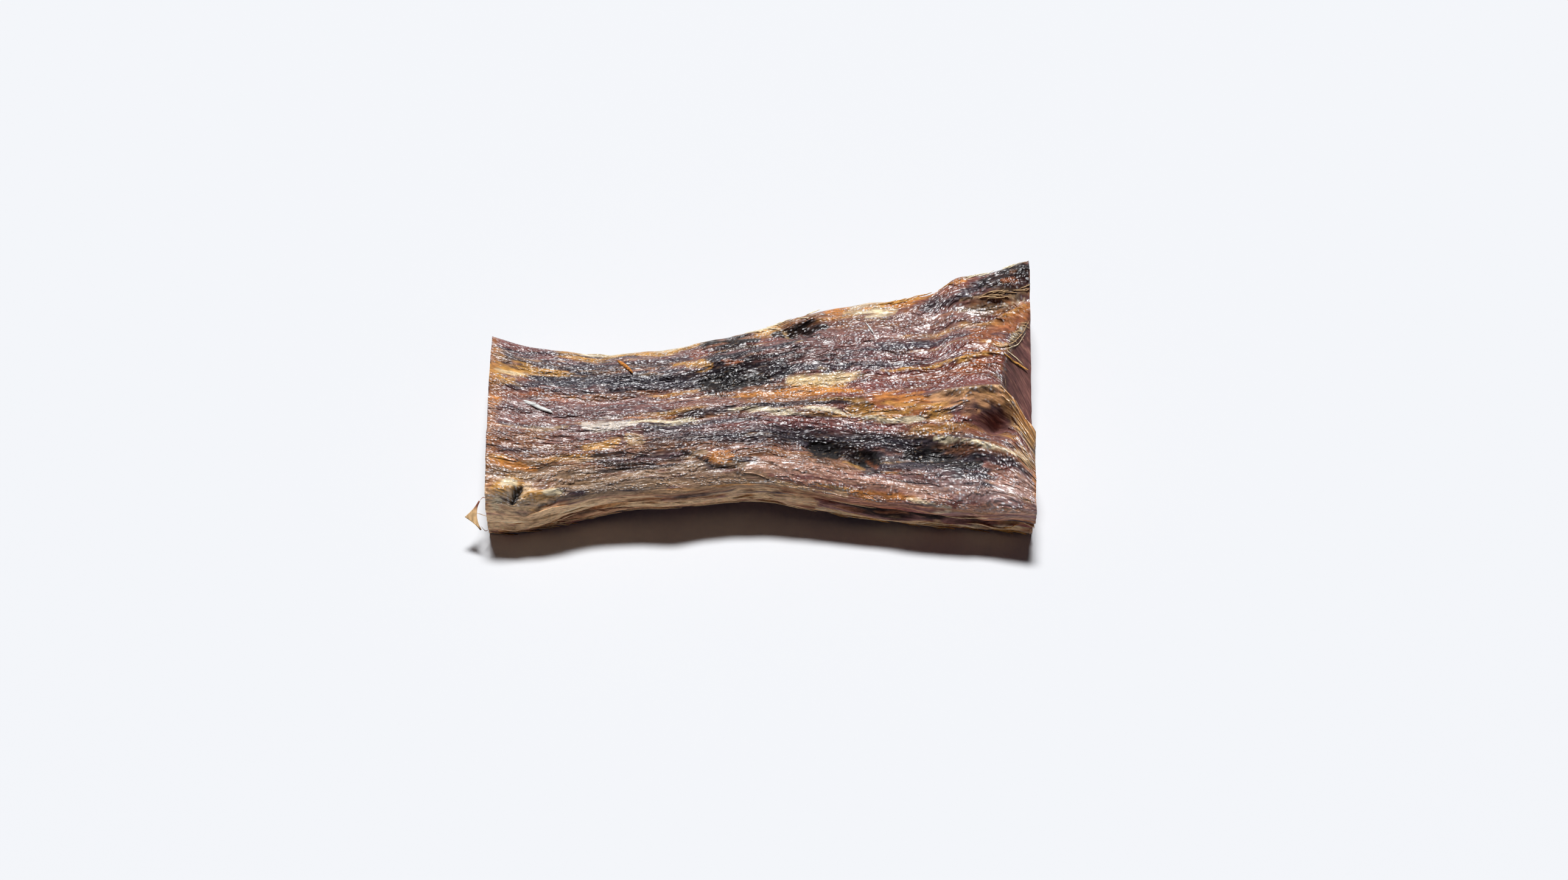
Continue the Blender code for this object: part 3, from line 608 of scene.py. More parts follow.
# How glossy the top is, from these strokes on a glossy ground: share of gloss, half width, path.
GLOSS_STROKES = (
    (0.52, 0.85, ((-12.0, -5.1), (-8.0, -5.0), (-3.5, -4.8), (0.5, -4.6))),
    (0.55, 0.30, ((0.2, -4.4), (4.8, -4.8), (8.7, -5.6))),
    (0.25, 0.45, ((5.6, -1.0), (9.5, -1.0))),
    (0.15, 0.80, ((9.8, -1.3), (11.0, -1.6), (11.9, -1.9))),
    (0.55, 0.30, ((2.0, 0.2), (4.9, 0.3))),
    (0.35, 0.40, ((-12.2, 1.0), (-11.3, 0.8), (-10.2, 0.7))),
    (0.42, 0.50, ((-2.2, 0.05), (0.7, 0.15))),
    (0.50, 0.42, ((-2.2, 2.25), (0.2, 2.45))),
    (0.48, 0.75, ((2.4, -3.1), (4.1, -3.4), (5.4, -3.7), (8.8, -3.6), (10.8, -4.1))),
    (0.35, 0.40, ((2.8, -3.1), (4.0, -3.3))),
    (0.35, 0.40, ((4.6, -3.7), (5.9, -3.8))),
    (1.00, 1.20, ((-11.5, -1.3), (-9.0, -1.4), (-6.0, -1.6))),
    (1.15, 0.40, ((-7.8, -2.3), (-6.7, -2.25), (-5.0, -2.1))),
    (0.62, 0.80, ((-2.2, 1.0), (0.5, 1.0), (2.4, 1.5))),
    (0.70, 0.75, ((7.5, 0.5), (9.5, 0.6), (11.3, 0.8))),
    (0.60, 0.60, ((11.2, 5.2), (13.2, 5.6))),
    (0.65, 0.45, ((1.5, 2.9), (2.9, 3.05))),
    (0.40, 0.50, ((10.7, 2.6), (12.9, 3.6))),
)


def paint(under, over, share):
    """Lays a colour over another. share is how much of it shows at each point."""
    return under + (np.array(over) - under) * share[:, None]


# A stroke wanders by noise of this strength, length and width, and its edges are torn by two finer ones.
STROKE_WANDER = (0.10, 1.5, 0.30)
STROKE_TEAR = ((0.55, 1.1, 0.14), (0.70, 0.45, 0.09))
STROKE_EDGE = (0.5, 1.3)  # from its full colour to none, as shares of the half width
STROKE_ENDS = (0.15, 0.95)  # the half width at its ends, and how much that grows towards the middle


def stroke(seed, x, y, path, half_width, tapered=True):
    """A stroke along a path, from 0 to 1, broken up along the grain. A tapered one has pointed ends."""
    wander = STROKE_WANDER[0] * grain_noise(seed, x, grain_across, *STROKE_WANDER[1:])
    distance, share, _ = along_path(x, y + wander, path)
    if tapered:
        middle = np.sqrt(np.clip(5 * share * (1 - share), 0, 1))
        half_width = half_width * (STROKE_ENDS[0] + STROKE_ENDS[1] * middle)
    tear = 0
    for step, (strength, length, width) in enumerate(STROKE_TEAR, start=1):
        tear = tear + strength * grain_noise(seed + step, x, grain_across, length, width)
    return 1 - rise(distance / half_width + tear, *STROKE_EDGE)


# Where each point is across the grain: round the whole section, in millimetres.
grain_across = across * ACROSS
is_near, is_far, is_under = across < RIM, across > 1 - RIM, up < RIM
grain_across = np.where(is_near, -(1 - up) * UPRIGHT, grain_across)
grain_across = np.where(is_far, ACROSS + (1 - up) * UPRIGHT, grain_across)
grain_across = np.where(is_under, 2 * ACROSS + UPRIGHT - across * ACROSS, grain_across)
is_sawn = (along < RIM) | (along > 1 - RIM)
grain_across = np.where(is_sawn & ~is_near & ~is_far & ~is_under, across * ACROSS + 0.4 * z, grain_across)


def streaky(seed, length, width):
    """Noise from -1 to 1 in streaks of that length and width, all round the chip."""
    return grain_noise(seed, x, grain_across, length, width)


# The ground colours run through the whole chip: colour, strength, seed, length and width of its streaks, and
# the noise at which a streak begins and is full.
GROUND = (
    (BROWN, 1.0, 101, (7.0, 0.9), (-0.2, 0.5)),
    (PLUM, 1.0, 102, (5.0, 0.5), (0.0, 0.5)),
    (SLATE, 0.85, 103, (6.0, 0.35), (0.08, 0.45)),
    (AMBER, 0.6, 104, (4.0, 0.22), (0.45, 0.8)),
    (TAN, 0.5, 105, (2.5, 0.14), (0.5, 0.85)),
)
SIDE_DEPTH = (0.25, 0.90)  # how far down a long side the top's bands and streaks fade out
SAWN_DEPTH = (0.40, 2.20)  # the same on a sawn end, where only a share of them fades
SAWN_FADE = 0.75
RIM_DEPTH = (0.10, 0.60)  # the same for the clean wood along the far edge
RIM_FADE = 0.85
RIM_END = 0.5  # length over which each stretch of that edge begins and ends
RIM_RAGGED = (0.7, 0.8, 0.12)  # strength, length and width of the noise that frays it
RIM_EDGE = (0.6, 1.3)  # from its full colour to none, as shares of the half width
BAND_SEED, STREAK_SEED, NEAR_SEED, RIM_SEED, SAWN_SEED, GLOSS_SEED = 200, 300, 500, 650, 660, 700
LEFT_END = -12.0
SAWN_EDGE = (0.460, 0.190, 0.075)  # a scorched line along the left sawn edge
SAWN_EDGE_SHARE = 0.7
SAWN_EDGE_WIDTH = (0.05, 0.60)
SAWN_EDGE_RAGGED = (0.25, 0.6, 0.25)
NEAR_TOP = (0.86, 1.0)  # share of the near side's height where its own streaks end

tint = np.tile(np.array(MAROON), (len(x), 1))
for colour, strength, seed, cell, limits in GROUND:
    tint = paint(tint, colour, strength * rise(streaky(seed, *cell), *limits))

buried = (1 - up) * UPRIGHT
surface = np.where(is_sawn, 1 - SAWN_FADE * rise(buried, *SAWN_DEPTH), 1 - rise(buried, *SIDE_DEPTH))
surface = np.where(is_under, 0, surface)
for number, (colour, strength, half_width, path) in enumerate(BANDS):
    shape = stroke(BAND_SEED + 2 * number, x, plan_y, path, half_width, tapered=False)
    tint = paint(tint, colour, strength * surface * shape)
inset = (1 - across) * ACROSS
at_rim = surface * (1 - RIM_FADE * rise(buried, *RIM_DEPTH))
for number, (colour, strength, half_width, (start, end)) in enumerate(FAR_RIM):
    reach = rise(x, start, start + RIM_END) * (1 - rise(x, end - RIM_END, end))
    frayed = RIM_RAGGED[0] * streaky(RIM_SEED + number, *RIM_RAGGED[1:])
    shape = 1 - rise(inset / half_width + frayed, *RIM_EDGE)
    tint = paint(tint, colour, strength * at_rim * reach * shape)
for number, (colour, strength, half_width, path) in enumerate(STREAKS):
    shape = stroke(STREAK_SEED + 2 * number, x, plan_y, path, half_width)
    tint = paint(tint, colour, strength * surface * shape)
frayed = SAWN_EDGE_RAGGED[0] * streaky(SAWN_SEED, *SAWN_EDGE_RAGGED[1:])
sawn_rim = surface * (1 - rise(x - LEFT_END + frayed, *SAWN_EDGE_WIDTH))
tint = paint(tint, SAWN_EDGE, SAWN_EDGE_SHARE * sawn_rim * (1 - is_sawn))
upright = np.where(is_near, 1 - rise(up, *NEAR_TOP), 0)
for number, (colour, strength, half_width, path) in enumerate(NEAR_STREAKS):
    shape = stroke(NEAR_SEED + 2 * number, x, z, path, half_width)
    tint = paint(tint, colour, strength * upright * shape)

# The crest's rim is a thin tan line. The hollow under it is darkened with painted shade, and the facet behind
# it is smooth maroon, darkened further with painted shade except near the right end.
HOLLOW_SHADE_BROWN = (0.180, 0.070, 0.062)
HOLLOW_SHADE_SPOTS = (  # middle, radii, strength
    ((11.3, -1.8), (0.62, 0.50), 1.3),
    ((10.6, -1.9), (0.55, 0.32), 0.6),
)
FACET_MAROON = (0.190, 0.075, 0.068)
SHADE_AND_FACET_SHARE = 0.95
FACET_SHADE = 0.35
FACET_SHADE_END = (12.0, 12.9)
CREST_LINE = (0.09, 0.12)  # half width of its tan line, and how much that grows towards the right end
CREST_LINE_START = (0.30, 0.55)  # these are shares of the crest's length
CREST_LINE_GROWTH = (0.55, 0.75)
CREST_LINE_SHARE = 0.9
CREST_ORANGE_START = (0.60, 0.75)
CREST_ORANGE_SHARE = 0.8
CREST_FLECKS = (106, 0.5, 0.12)  # seed, length, width

from_crest, crest_share, _ = along_path(x, plan_y, CREST)
# Painted shade in the hollow under the crest.
hollow = sum(dip(x, plan_y, *stain) for stain in HOLLOW_SHADE_SPOTS)
tint = paint(tint, HOLLOW_SHADE_BROWN, SHADE_AND_FACET_SHARE * surface * np.clip(hollow, 0, 1))
tint = paint(tint, FACET_MAROON, SHADE_AND_FACET_SHARE * surface * on_facet)
tint = paint(tint, BLACK, FACET_SHADE * surface * on_facet * (1 - rise(x, *FACET_SHADE_END)))
edge_width = CREST_LINE[0] + CREST_LINE[1] * rise(crest_share, *CREST_LINE_GROWTH)
rim = surface * rise(crest_share, *CREST_LINE_START) * bell(from_crest, edge_width)
tint = paint(tint, TAN, CREST_LINE_SHARE * rim)
flecked = rise(crest_share, *CREST_ORANGE_START) * rise(streaky(*CREST_FLECKS), -0.4, 0.4)
tint = paint(tint, ORANGE, CREST_ORANGE_SHARE * rim * flecked)

# Fine fibres: the finest ribs are darker in their troughs, partly resin and partly painted shade, and worn
# paler on their backs. The near side also has thin brown lines. It is paler than the top, being clean wood,
# and is lightened further as painted light; the hidden sides are a little darker as painted shade.
FINE_FIBRES = ((107, 0.6, 1.3, 0.10), (108, 0.4, 0.6, 0.09))  # seed, strength, length, width
FIBRE_SHADE = 0.38
LINE_BROWN = (0.400, 0.180, 0.090)
LINE_SHARE = 0.65
LINE_STREAKS = (109, 2.2, 0.09)
LINE_FROM = (0.42, 0.62)
NEAR_PAINTED_LIGHT = 1.5
HIDDEN_PAINTED_SHADE = 0.9
GLOSS = {"near or under": 0.22, "far": 0.5, "top": 0.9}
FACET_DULLNESS = 0.8

fibres = sum(strength * streaky(seed, length, width) for seed, strength, length, width in FINE_FIBRES)
tint = tint * (1 + FIBRE_SHADE * fibres)[:, None]
lines = is_near * rise(streaky(*LINE_STREAKS), *LINE_FROM)
tint = paint(tint, LINE_BROWN, LINE_SHARE * lines)
# Painted light raises the near side, and painted shade darkens the far side and the underside.
tint = tint * np.where(is_under | is_far, HIDDEN_PAINTED_SHADE, np.where(is_near, NEAR_PAINTED_LIGHT, 1))[:, None]
tint = tint / np.maximum(1, tint.max(axis=1))[:, None]

gloss = np.where(is_near | is_under, GLOSS["near or under"], np.where(is_far, GLOSS["far"], GLOSS["top"]))
for number, (share, half_width, path) in enumerate(GLOSS_STROKES):
    reach = stroke(GLOSS_SEED + 2 * number, x, plan_y, path, half_width) * (1 - is_near)
    gloss = gloss + (share - gloss) * reach
gloss = np.clip(gloss * (1 - FACET_DULLNESS * on_facet), 0, 1)


def write_look(piece, colours, glosses):
    """Stores a colour and a gloss for each point of the piece, which its material reads."""
    rows = np.column_stack((np.clip(colours, 0, 1), np.ones(len(colours))))
    looks = (("tint", "FLOAT_COLOR", "color", rows), ("gloss", "FLOAT", "value", glosses))
    for name, kind, key, values in looks:
        made = piece.data.attributes.new(name, kind, "POINT")
        made.data.foreach_set(key, values.astype(np.float32).ravel())


write_look(chip, tint, gloss)

# The finish is what the torn fibres and the resin on them do to the light. Each fibre end is a tiny dome
# glazed with resin, so a level stretch glitters in rows of dots, and bare or dusty wood stays dull. A grey
# sheen and part of the glints are also painted into the wood's colour, as painted reflection.

LONG_FIBRE = (0.9, 0.11)  # length along the grain and width across it
SHORT_FIBRE = (0.26, 0.085)
DOT = (0.17, 0.11)
CLUMP = (1.1, 0.32)
BLOB = (0.24, 0.15)
SPECK = (0.12, 0.08)
FIBRE_HEIGHT = 0.024
BLOB_HEIGHT = 0.090
SPECK_HEIGHT = 0.042
# A white laid into the colour in dots: partly pale fibre ends, partly painted glints.
GLINT = (0.95, 0.95, 0.98)
GLINT_SHARE = 0.8
# A grey sheen laid into the colour of glazed wood, a painted reflection; its share grows with the gloss.
PAINTED_SHEEN = (0.52, 0.53, 0.59)
PAINTED_SHEEN_GROWTH = (1.1, -0.74)  # the share of haze is the gloss times the first, plus the second
FIBRE_LIGHT = (0.25, 0.42, 0.62)  # what the long and the short fibres add to the light, and its least
WORN_TAN = 0.22
WET_FROM = (0.85, 1.05)  # how much resin there is where the wood begins to look wet, and where it fully does
GLAZED_FROM = (0.70, 1.40)  # the same for the height of its glaze
DRY_ROUGHNESS = 0.88
WET_ROUGHNESS = 0.27
WANDER = ((2.1, 1.3), (1.9, 1.0))  # cells of the noise that bends the grain, along it and across it
WANDER_REACH = (0.8, 0.3)


class Wire:
    """A socket of a material's nodes. Arithmetic on it adds Math nodes."""

    def __init__(self, tree, socket=None):
        self.tree = tree
        self.socket = socket

    def node(self, kind, settings=(), inputs=(), output=0):
        """Adds a node: its settings first, then a value or a link for each input that is named."""
        made = self.tree.nodes.new("ShaderNode" + kind)
        for name, value in dict(settings).items():
            setattr(made, name, value)
        for name, value in dict(inputs).items():
            if isinstance(value, Wire):
                self.tree.links.new(value.socket, made.inputs[name])
            else:
                made.inputs[name].default_value = value
        return Wire(self.tree, made.outputs[output])

    def math(self, operation, first, second):
        """A Math node on two numbers or sockets."""
        return self.node("Math", {"operation": operation}, {0: first, 1: second})

    def __add__(self, other):
        return self.math("ADD", self, other)

    def __sub__(self, other):
        return self.math("SUBTRACT", self, other)

    def __mul__(self, other):
        return self.math("MULTIPLY", self, other)

    def __rsub__(self, other):
        return self.math("SUBTRACT", other, self)

    __radd__ = __add__
    __rmul__ = __mul__

    def between(self, low, high):
        """0 below low, 1 above high, and an S-shaped step between them."""
        limits = {"Value": self, "From Min": low, "From Max": high}
        return self.node("MapRange", {"interpolation_type": "SMOOTHSTEP"}, limits)

    def scaled(self, *factors):
        """This vector times a factor along each axis."""
        return self.node("VectorMath", {"operation": "MULTIPLY"}, {0: self, 1: factors})

    def mixed(self, colour, share):
        """This colour with another laid over it."""
        return self.node("Mix", {"data_type": "RGBA"}, {0: share, 6: self, 7: colour}, 2)

    def dimmed(self, share):
        """This colour times a number."""
        return self.node("VectorMath", {"operation": "SCALE"}, {0: self, "Scale": share})


def new_material(name):
    """A material with a bare Principled shader: returns it, a start for its wires, and the shader."""
    material = bpy.data.materials.new(name)
    material.use_nodes = True
    return material, Wire(material.node_tree), material.node_tree.nodes["Principled BSDF"]


def plug(shader, **inputs):
    """Sets or links the shader's inputs, named with underscores for spaces."""
    for name, value in inputs.items():
        socket = shader.inputs[name.replace("_", " ")]
        if isinstance(value, Wire):
            value.tree.links.new(value.socket, socket)
        else:
            socket.default_value = value


heartwood, wire, shader = new_material("resinous heartwood")
grain = wire.node("UVMap", {"uv_map": "grain"})
painted = wire.node("Attribute", {"attribute_name": "tint"})
glossy = wire.node("Attribute", {"attribute_name": "gloss"}, output=2)


def grain_pattern(place, length, width, detail=2.0):
    """Noise from 0 to 1 in cells of length along the grain and width across it."""
    stretched = place.scaled(1 / length, 1 / width, 0)
    inputs = {"Vector": stretched, "Scale": 1.0, "Detail": detail}
    return wire.node("TexNoise", {"noise_dimensions": "2D"}, inputs)


def dots(place, length, width):
    """Dots in cells of that size: how far each point is from its dot's middle, and a random share per dot."""
    inputs = {"Vector": place.scaled(1 / length, 1 / width, 0), "Scale": 1.0, "Randomness": 1.0}
    away = wire.node("TexVoronoi", {"voronoi_dimensions": "2D"}, inputs)
    colours = wire.node("TexVoronoi", {"voronoi_dimensions": "2D"}, inputs, output=1)
    return away, wire.node("SeparateColor", (), {"Color": colours})


lengthwise = (grain_pattern(grain, *WANDER[0]) - 0.5) * WANDER_REACH[0]
sideways = (grain_pattern(grain, *WANDER[1], 0.0) - 0.5) * WANDER_REACH[1]
drift = wire.node("CombineXYZ", (), {"X": lengthwise, "Y": sideways})
bent = wire.node("VectorMath", {"operation": "ADD"}, {0: grain, 1: drift})
long_fibre = grain_pattern(bent, *LONG_FIBRE)
short_fibre = grain_pattern(bent, *SHORT_FIBRE)
clumps = grain_pattern(bent, *CLUMP)
blobs = grain_pattern(bent, *BLOB, 1.0)
specks = grain_pattern(bent, *SPECK, 0.0)
away, lot = dots(bent, *DOT)
lit = long_fibre.between(0.34, 0.62)
light = lit * FIBRE_LIGHT[0] + short_fibre.between(0.34, 0.66) * FIBRE_LIGHT[1] + FIBRE_LIGHT[2]
wood = painted.dimmed(light).mixed((*TAN, 1), short_fibre.between(0.60, 0.72) * lit * WORN_TAN)
resin = glossy + clumps * 0.4 + blobs * 0.6
wet = resin.between(*WET_FROM)
glazed = resin.between(*GLAZED_FROM) * (clumps.between(0.42, 0.62) * 0.75 + 0.25)
# Painted reflection: a grey sheen laid over the colour where the wood is glazed.
painted_sheen_share = glossy * PAINTED_SHEEN_GROWTH[0] + PAINTED_SHEEN_GROWTH[1]
wood = wood.mixed((*PAINTED_SHEEN, 1), blobs.between(0.52, 0.70) * glazed * wet * painted_sheen_share)
# White dots in the colour where the wood is glazed: partly pale fibre ends, partly painted glints.
glint_and_pale_fleck = (1 - away.between(0.12, 0.42)) * lot.between(0.35, 0.80) * glazed * wet
wood = wood.mixed((*GLINT, 1), glint_and_pale_fleck * GLINT_SHARE)
relief = long_fibre * FIBRE_HEIGHT + blobs * glazed * BLOB_HEIGHT + specks * glazed * SPECK_HEIGHT
bump = wire.node("Bump", (), {"Height": relief, "Distance": MM, "Strength": 1.0})
roughness = DRY_ROUGHNESS - wet * (DRY_ROUGHNESS - WET_ROUGHNESS)
plug(shader, Base_Color=wood, Roughness=roughness, Normal=bump, Specular_IOR_Level=0.5)
chip.data.materials.append(heartwood)

# The sawn ends cut across the fibres. They are matte, with fine saw marks and the open mouths of the pores.

PORE_SPACING = 0.16
PORE_MOUTH = (0.16, 0.30)  # from all dark to none, as shares of the spacing
PORE_BLACK = (0.012, 0.008, 0.007)
PORE_DEPTH = 0.03
SAW_PITCH = 0.11
SAW_LENGTH = 2.0
SAW_MARK_HEIGHT = 0.02
SAWN_ROUGHNESS = 0.62
SPECKLE_SIZE = 1 / 14

end_grain, wire, shader = new_material("sawn end grain")
place = wire.node("UVMap", {"uv_map": "grain"})
painted = wire.node("Attribute", {"attribute_name": "tint"})
marks = grain_pattern(place, SAW_LENGTH, SAW_PITCH)
pores = wire.node(
    "TexVoronoi", {"voronoi_dimensions": "2D"},
    {"Vector": place.scaled(1 / PORE_SPACING, 1 / PORE_SPACING, 0), "Scale": 1.0, "Randomness": 0.9},
)
mouths = 1 - pores.between(*PORE_MOUTH)
speckle = grain_pattern(place, SPECKLE_SIZE, SPECKLE_SIZE)
wood = painted.dimmed(0.55 + speckle.between(0.25, 0.75) * 0.7 + marks * 0.3)
wood = wood.mixed((*PORE_BLACK, 1), mouths * 0.8)
relief = marks * SAW_MARK_HEIGHT - mouths * PORE_DEPTH
bump = wire.node("Bump", (), {"Height": relief, "Distance": MM, "Strength": 1.0})
plug(shader, Base_Color=wood, Roughness=SAWN_ROUGHNESS, Normal=bump)
chip.data.materials.append(end_grain)

# Fibres and splinters that tore loose lie on the wood and fray at its edges. Each is one thin spindle,
# copied and bent along its own path over the surface, or through the air for the hair at the left end.

STRAND_SIDES = 6
STRAND_CUTS = 13
STRAND_FLATNESS = 0.55
STRAND_TIP = 0.06
STRAND_TURN = 10  # how many degrees a strand may turn off its heading, three times that for frayed ones
STRAND_STRAY = 0.05  # how far past the edge of its face a strand may reach
STRAND_GLOSS = 0.25
STRAND_ENDS = (-11.95, 12.95)  # strewn strands stay between these along X
# A strand without a colour of its own is lightened as a painted highlight.
STRAND_PAINTED_HIGHLIGHT = 1.3  # a strand without a colour of its own is this much paler than the wood under it
LINT = (0.860, 0.870, 0.850)
# Single strands: face, path of (x, y) on top, (x, z) on the near side or (x, y, z) in the air, how far the
# end lifts off, half width, colour.
STRANDS = (
    ("top", ((-6.15, 1.38), (-5.80, 1.00), (-5.38, 0.45)), 0.10, 0.125, ORANGE),
    ("top", ((-6.05, 1.20), (-5.75, 1.02)), 0.10, 0.060, RUST),
    ("top", ((-10.4, -0.98), (-9.7, -1.32), (-9.0, -1.62)), 0.06, 0.115, LINT),
    ("top", ((-10.3, -1.12), (-9.9, -1.25), (-9.4, -1.36)), 0.10, 0.035, LINT),
    ("top", ((5.35, 3.28), (5.50, 2.95), (5.70, 2.55)), 0.08, 0.085, LINT),
    ("top", ((11.5, 1.75), (12.1, 2.05), (12.6, 2.70), (12.92, 3.35)), 0.10, 0.036, TAN),
    ("top", ((11.7, 1.60), (12.3, 2.05), (12.75, 2.75)), 0.16, 0.028, CREAM),
    ("top", ((11.6, 1.45), (12.1, 1.30), (12.45, 1.22), (12.86, 1.10)), 0.12, 0.060, AMBER),
    ("top", ((11.8, 1.60), (12.2, 1.52), (12.6, 1.25)), 0.14, 0.034, CREAM),
    ("top", ((11.1, 1.95), (11.6, 1.80), (12.1, 1.95)), 0.12, 0.040, TAN),
    ("top", ((11.70, -0.45), (11.74, -0.10), (11.68, 0.30)), 0.22, 0.075, TAN),
    ("near", ((-9.9, 0.70), (-8.6, 0.98), (-7.4, 1.22)), 0.05, 0.060, BROWN),
    ("air", ((-12.46, -5.78, 1.72), (-12.25, -5.84, 1.70), (-11.95, -5.90, 1.58)), 0.0, 0.018, TAN),
    ("air", ((-12.32, -5.35, 2.05), (-12.15, -5.25, 2.22), (-11.97, -5.30, 2.20)), 0.0, 0.020, RUST),
    ("air", ((-12.26, -6.25, 1.30), (-12.10, -6.28, 0.95), (-11.97, -6.10, 0.70)), 0.0, 0.020, BROWN),
)
# Strewn strands: seed, how many, face, line of their roots, spread, heading in degrees, length, lift, half
# width, colour or None for that of the wood under them.
STREWN = (
    (801, 60, "top", ((-11.6, -1.6), (11.0, -0.4)), 3.6, 0, 0.9, 0.0, 0.030, None),
    (802, 40, "near", ((-11.8, 1.3), (12.0, 1.3)), 0.9, 0, 1.7, 0.05, 0.045, DRY),
    (803, 16, "near", ((-11.9, 0.20), (-7.6, 0.55)), 0.12, -6, 0.8, 0.10, 0.035, TAN),
    (804, 12, "near", ((-10.0, 0.80), (-6.4, 1.25)), 0.12, 6, 1.0, 0.06, 0.035, BROWN),
    (805, 18, "near", ((3.5, 0.55), (12.4, 0.30)), 0.12, 0, 1.1, 0.12, 0.032, AMBER),
    (806, 14, "top", ((-0.9, 2.95), (2.6, 3.95)), 0.10, 16, 0.7, 0.10, 0.026, CREAM),
    (807, 14, "top", ((4.4, 3.95), (8.8, 5.00)), 0.10, 14, 0.7, 0.08, 0.026, AMBER),
    (808, 18, "top", ((9.6, 5.45), (12.2, 6.10)), 0.10, 25, 0.5, 0.08, 0.020, CREAM),
    (809, 14, "top", ((10.3, 4.30), (12.6, 4.65)), 0.16, 8, 0.8, 0.08, 0.028, TAN),
    (810, 8, "top", ((11.5, 1.80), (12.5, 3.00)), 0.25, -10, 0.4, 0.10, 0.020, TAN),
)

bpy.ops.object.select_all(action="DESELECT")
bpy.ops.mesh.primitive_cylinder_add(vertices=STRAND_SIDES, radius=1, depth=1)
strand = bpy.context.object
bpy.ops.object.mode_set(mode="EDIT")
bpy.ops.mesh.select_mode(type="EDGE")
cut_cells(2, STRAND_CUTS)
bpy.ops.object.mode_set(mode="OBJECT")
strand.data.uv_layers[0].name = "grain"
round_x, round_y, strand_share = points_of(strand).T
station = np.rint((strand_share + 0.5) * (STRAND_CUTS + 1)).astype(int)
strand_corners = corners_of(strand)
face_points = {"top": np.flatnonzero(up > 1 - RIM), "near": np.flatnonzero(is_near)}
face_axes = {"top": (1, 2, 1.0), "near": (2, 1, -1.0)}  # across the face, out of it, and which way is out


def smoothed(values):
    return np.convolve(np.pad(values, 1, mode="edge"), np.full(3, 1 / 3), mode="valid")


def lay_strand(face, path, lift, half_width, colour, shade=1.0):
    """Adds one strand along a path, in millimetres, and returns it."""
    steps = np.linspace(0, 1, STRAND_CUTS + 2)
    shares = np.linspace(0, 1, len(path))
    line = np.stack([smooth_through(list(zip(shares, values)), steps) for values in zip(*path)], axis=1)
    shine = STRAND_GLOSS
    if face == "air":
        middle, across_axis, out_axis, way = line, 1, 2, 1.0
        colours = np.tile(np.array(colour), (len(steps), 1))
    else:
        across_axis, out_axis, way = face_axes[face]
        group = face_points[face]
        on_face = wood_places[group][:, (0, across_axis)]
        gaps = [np.hypot(*(on_face - point).T) for point in line]
        nearest = group[[gap.argmin() for gap in gaps]]
        off_face = np.array([gap.min() for gap in gaps])
        stray = np.minimum(1, STRAND_STRAY / np.maximum(off_face, STRAND_STRAY))[:, None]
        root = wood_places[nearest][:, (0, across_axis)]
        middle = np.zeros((len(steps), 3))
        middle[:, 0], middle[:, across_axis] = (root + (line - root) * stray).T
        middle[:, out_axis] = smoothed(wood_places[nearest, out_axis])
        middle[:, out_axis] += way * (lift * steps**2 + 0.25 * half_width)
        colours = np.tile(np.array(colour), (len(steps), 1)) if colour else tint[nearest] * STRAND_PAINTED_HIGHLIGHT
        shine = STRAND_GLOSS if colour else gloss[nearest].mean()
    taper = STRAND_TIP + (1 - STRAND_TIP) * 2 * np.sqrt(steps * (1 - steps))
    made = strand.copy()
    made.data = strand.data.copy()
    bpy.context.collection.objects.link(made)
    points = middle[station]
    width = half_width * taper[station]
    points[:, across_axis] += round_x * width
    points[:, out_axis] += round_y * width * STRAND_FLATNESS
    points = np.clip(points, lowest, highest)
    move_points(made, points)
    loose_map = np.column_stack((points[:, 0], points[:, across_axis] * 1.7 + 31 * half_width))
    map_grain(made, loose_map[strand_corners])
    write_look(made, colours[station] * shade, np.full(len(points), shine))
    return made


strands = [lay_strand(*row) for row in STRANDS]
for seed, count, face, (start, end), spread, heading, length, lift, half_width, colour in STREWN:
    random = np.random.default_rng(seed)
    for _ in range(count):
        share, off, turn, bend, size, shade = random.uniform(-1, 1, 6)
        root = np.array(start) + (np.array(end) - np.array(start)) * (share + 1) / 2
        root = root + np.array((0, off * spread))
        angle = math.radians(heading + (STRAND_TURN if lift < 0.10 else 3 * STRAND_TURN) * turn)
        run = length * (1 + 0.45 * size) * np.array((math.cos(angle), math.sin(angle)))
        aside = 0.06 * bend * np.array((-run[1], run[0]))
        path = (tuple(root), tuple(root + run / 2 + aside), tuple(root + run))
        path = tuple((min(max(px, STRAND_ENDS[0]), STRAND_ENDS[1]), second) for px, second in path)
        thickness = half_width * (1 + 0.4 * size)
        strands.append(lay_strand(face, path, lift, thickness, colour, 0.95 + 0.2 * shade))
bpy.data.objects.remove(strand)
bpy.ops.object.select_all(action="DESELECT")
for piece in strands:
    piece.select_set(True)
bpy.context.view_layer.objects.active = strands[0]
bpy.ops.object.join()
torn = bpy.context.object
torn.name = "torn_fibres"
bpy.ops.object.shade_smooth()
torn.data.materials.clear()
torn.data.materials.append(heartwood)
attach(torn, "root")

# The curl is a thorn of thin wood that still hangs on the left end. Its point is to the left and both of its
# horns end in the air. It is pale amber, with a reddish upper horn and a brown tip on the lower one.

CURL_MIDDLE = (-12.46, -5.88, 1.62)
CURL_TILT = math.radians(28)
CURL_HORNS = ((0.12, 0.68), (0.20, -0.64))
CURL_POINT = (-0.535, -0.05)
CURL_INSIDE = (-0.12, 0.02)  # pulls the edge between the horns into an arc
CURL_BULGE = 0.05
CURL_CUP = (0.10, 0.05)  # how deep it is cupped from horn to horn, and how much its point rises
CURL_THICKNESS = 0.07
CURL_CELLS = (24, 8)
CURL_AMBER = (0.80, 0.52, 0.26)
CURL_RED = (0.30, 0.10, 0.06)
CURL_RED_FROM = (0.12, 0.45)  # how far from its middle each horn's own colour begins and is full
CURL_BROWN_FROM = (0.36, 0.58)
CURL_GLOSS = 0.1

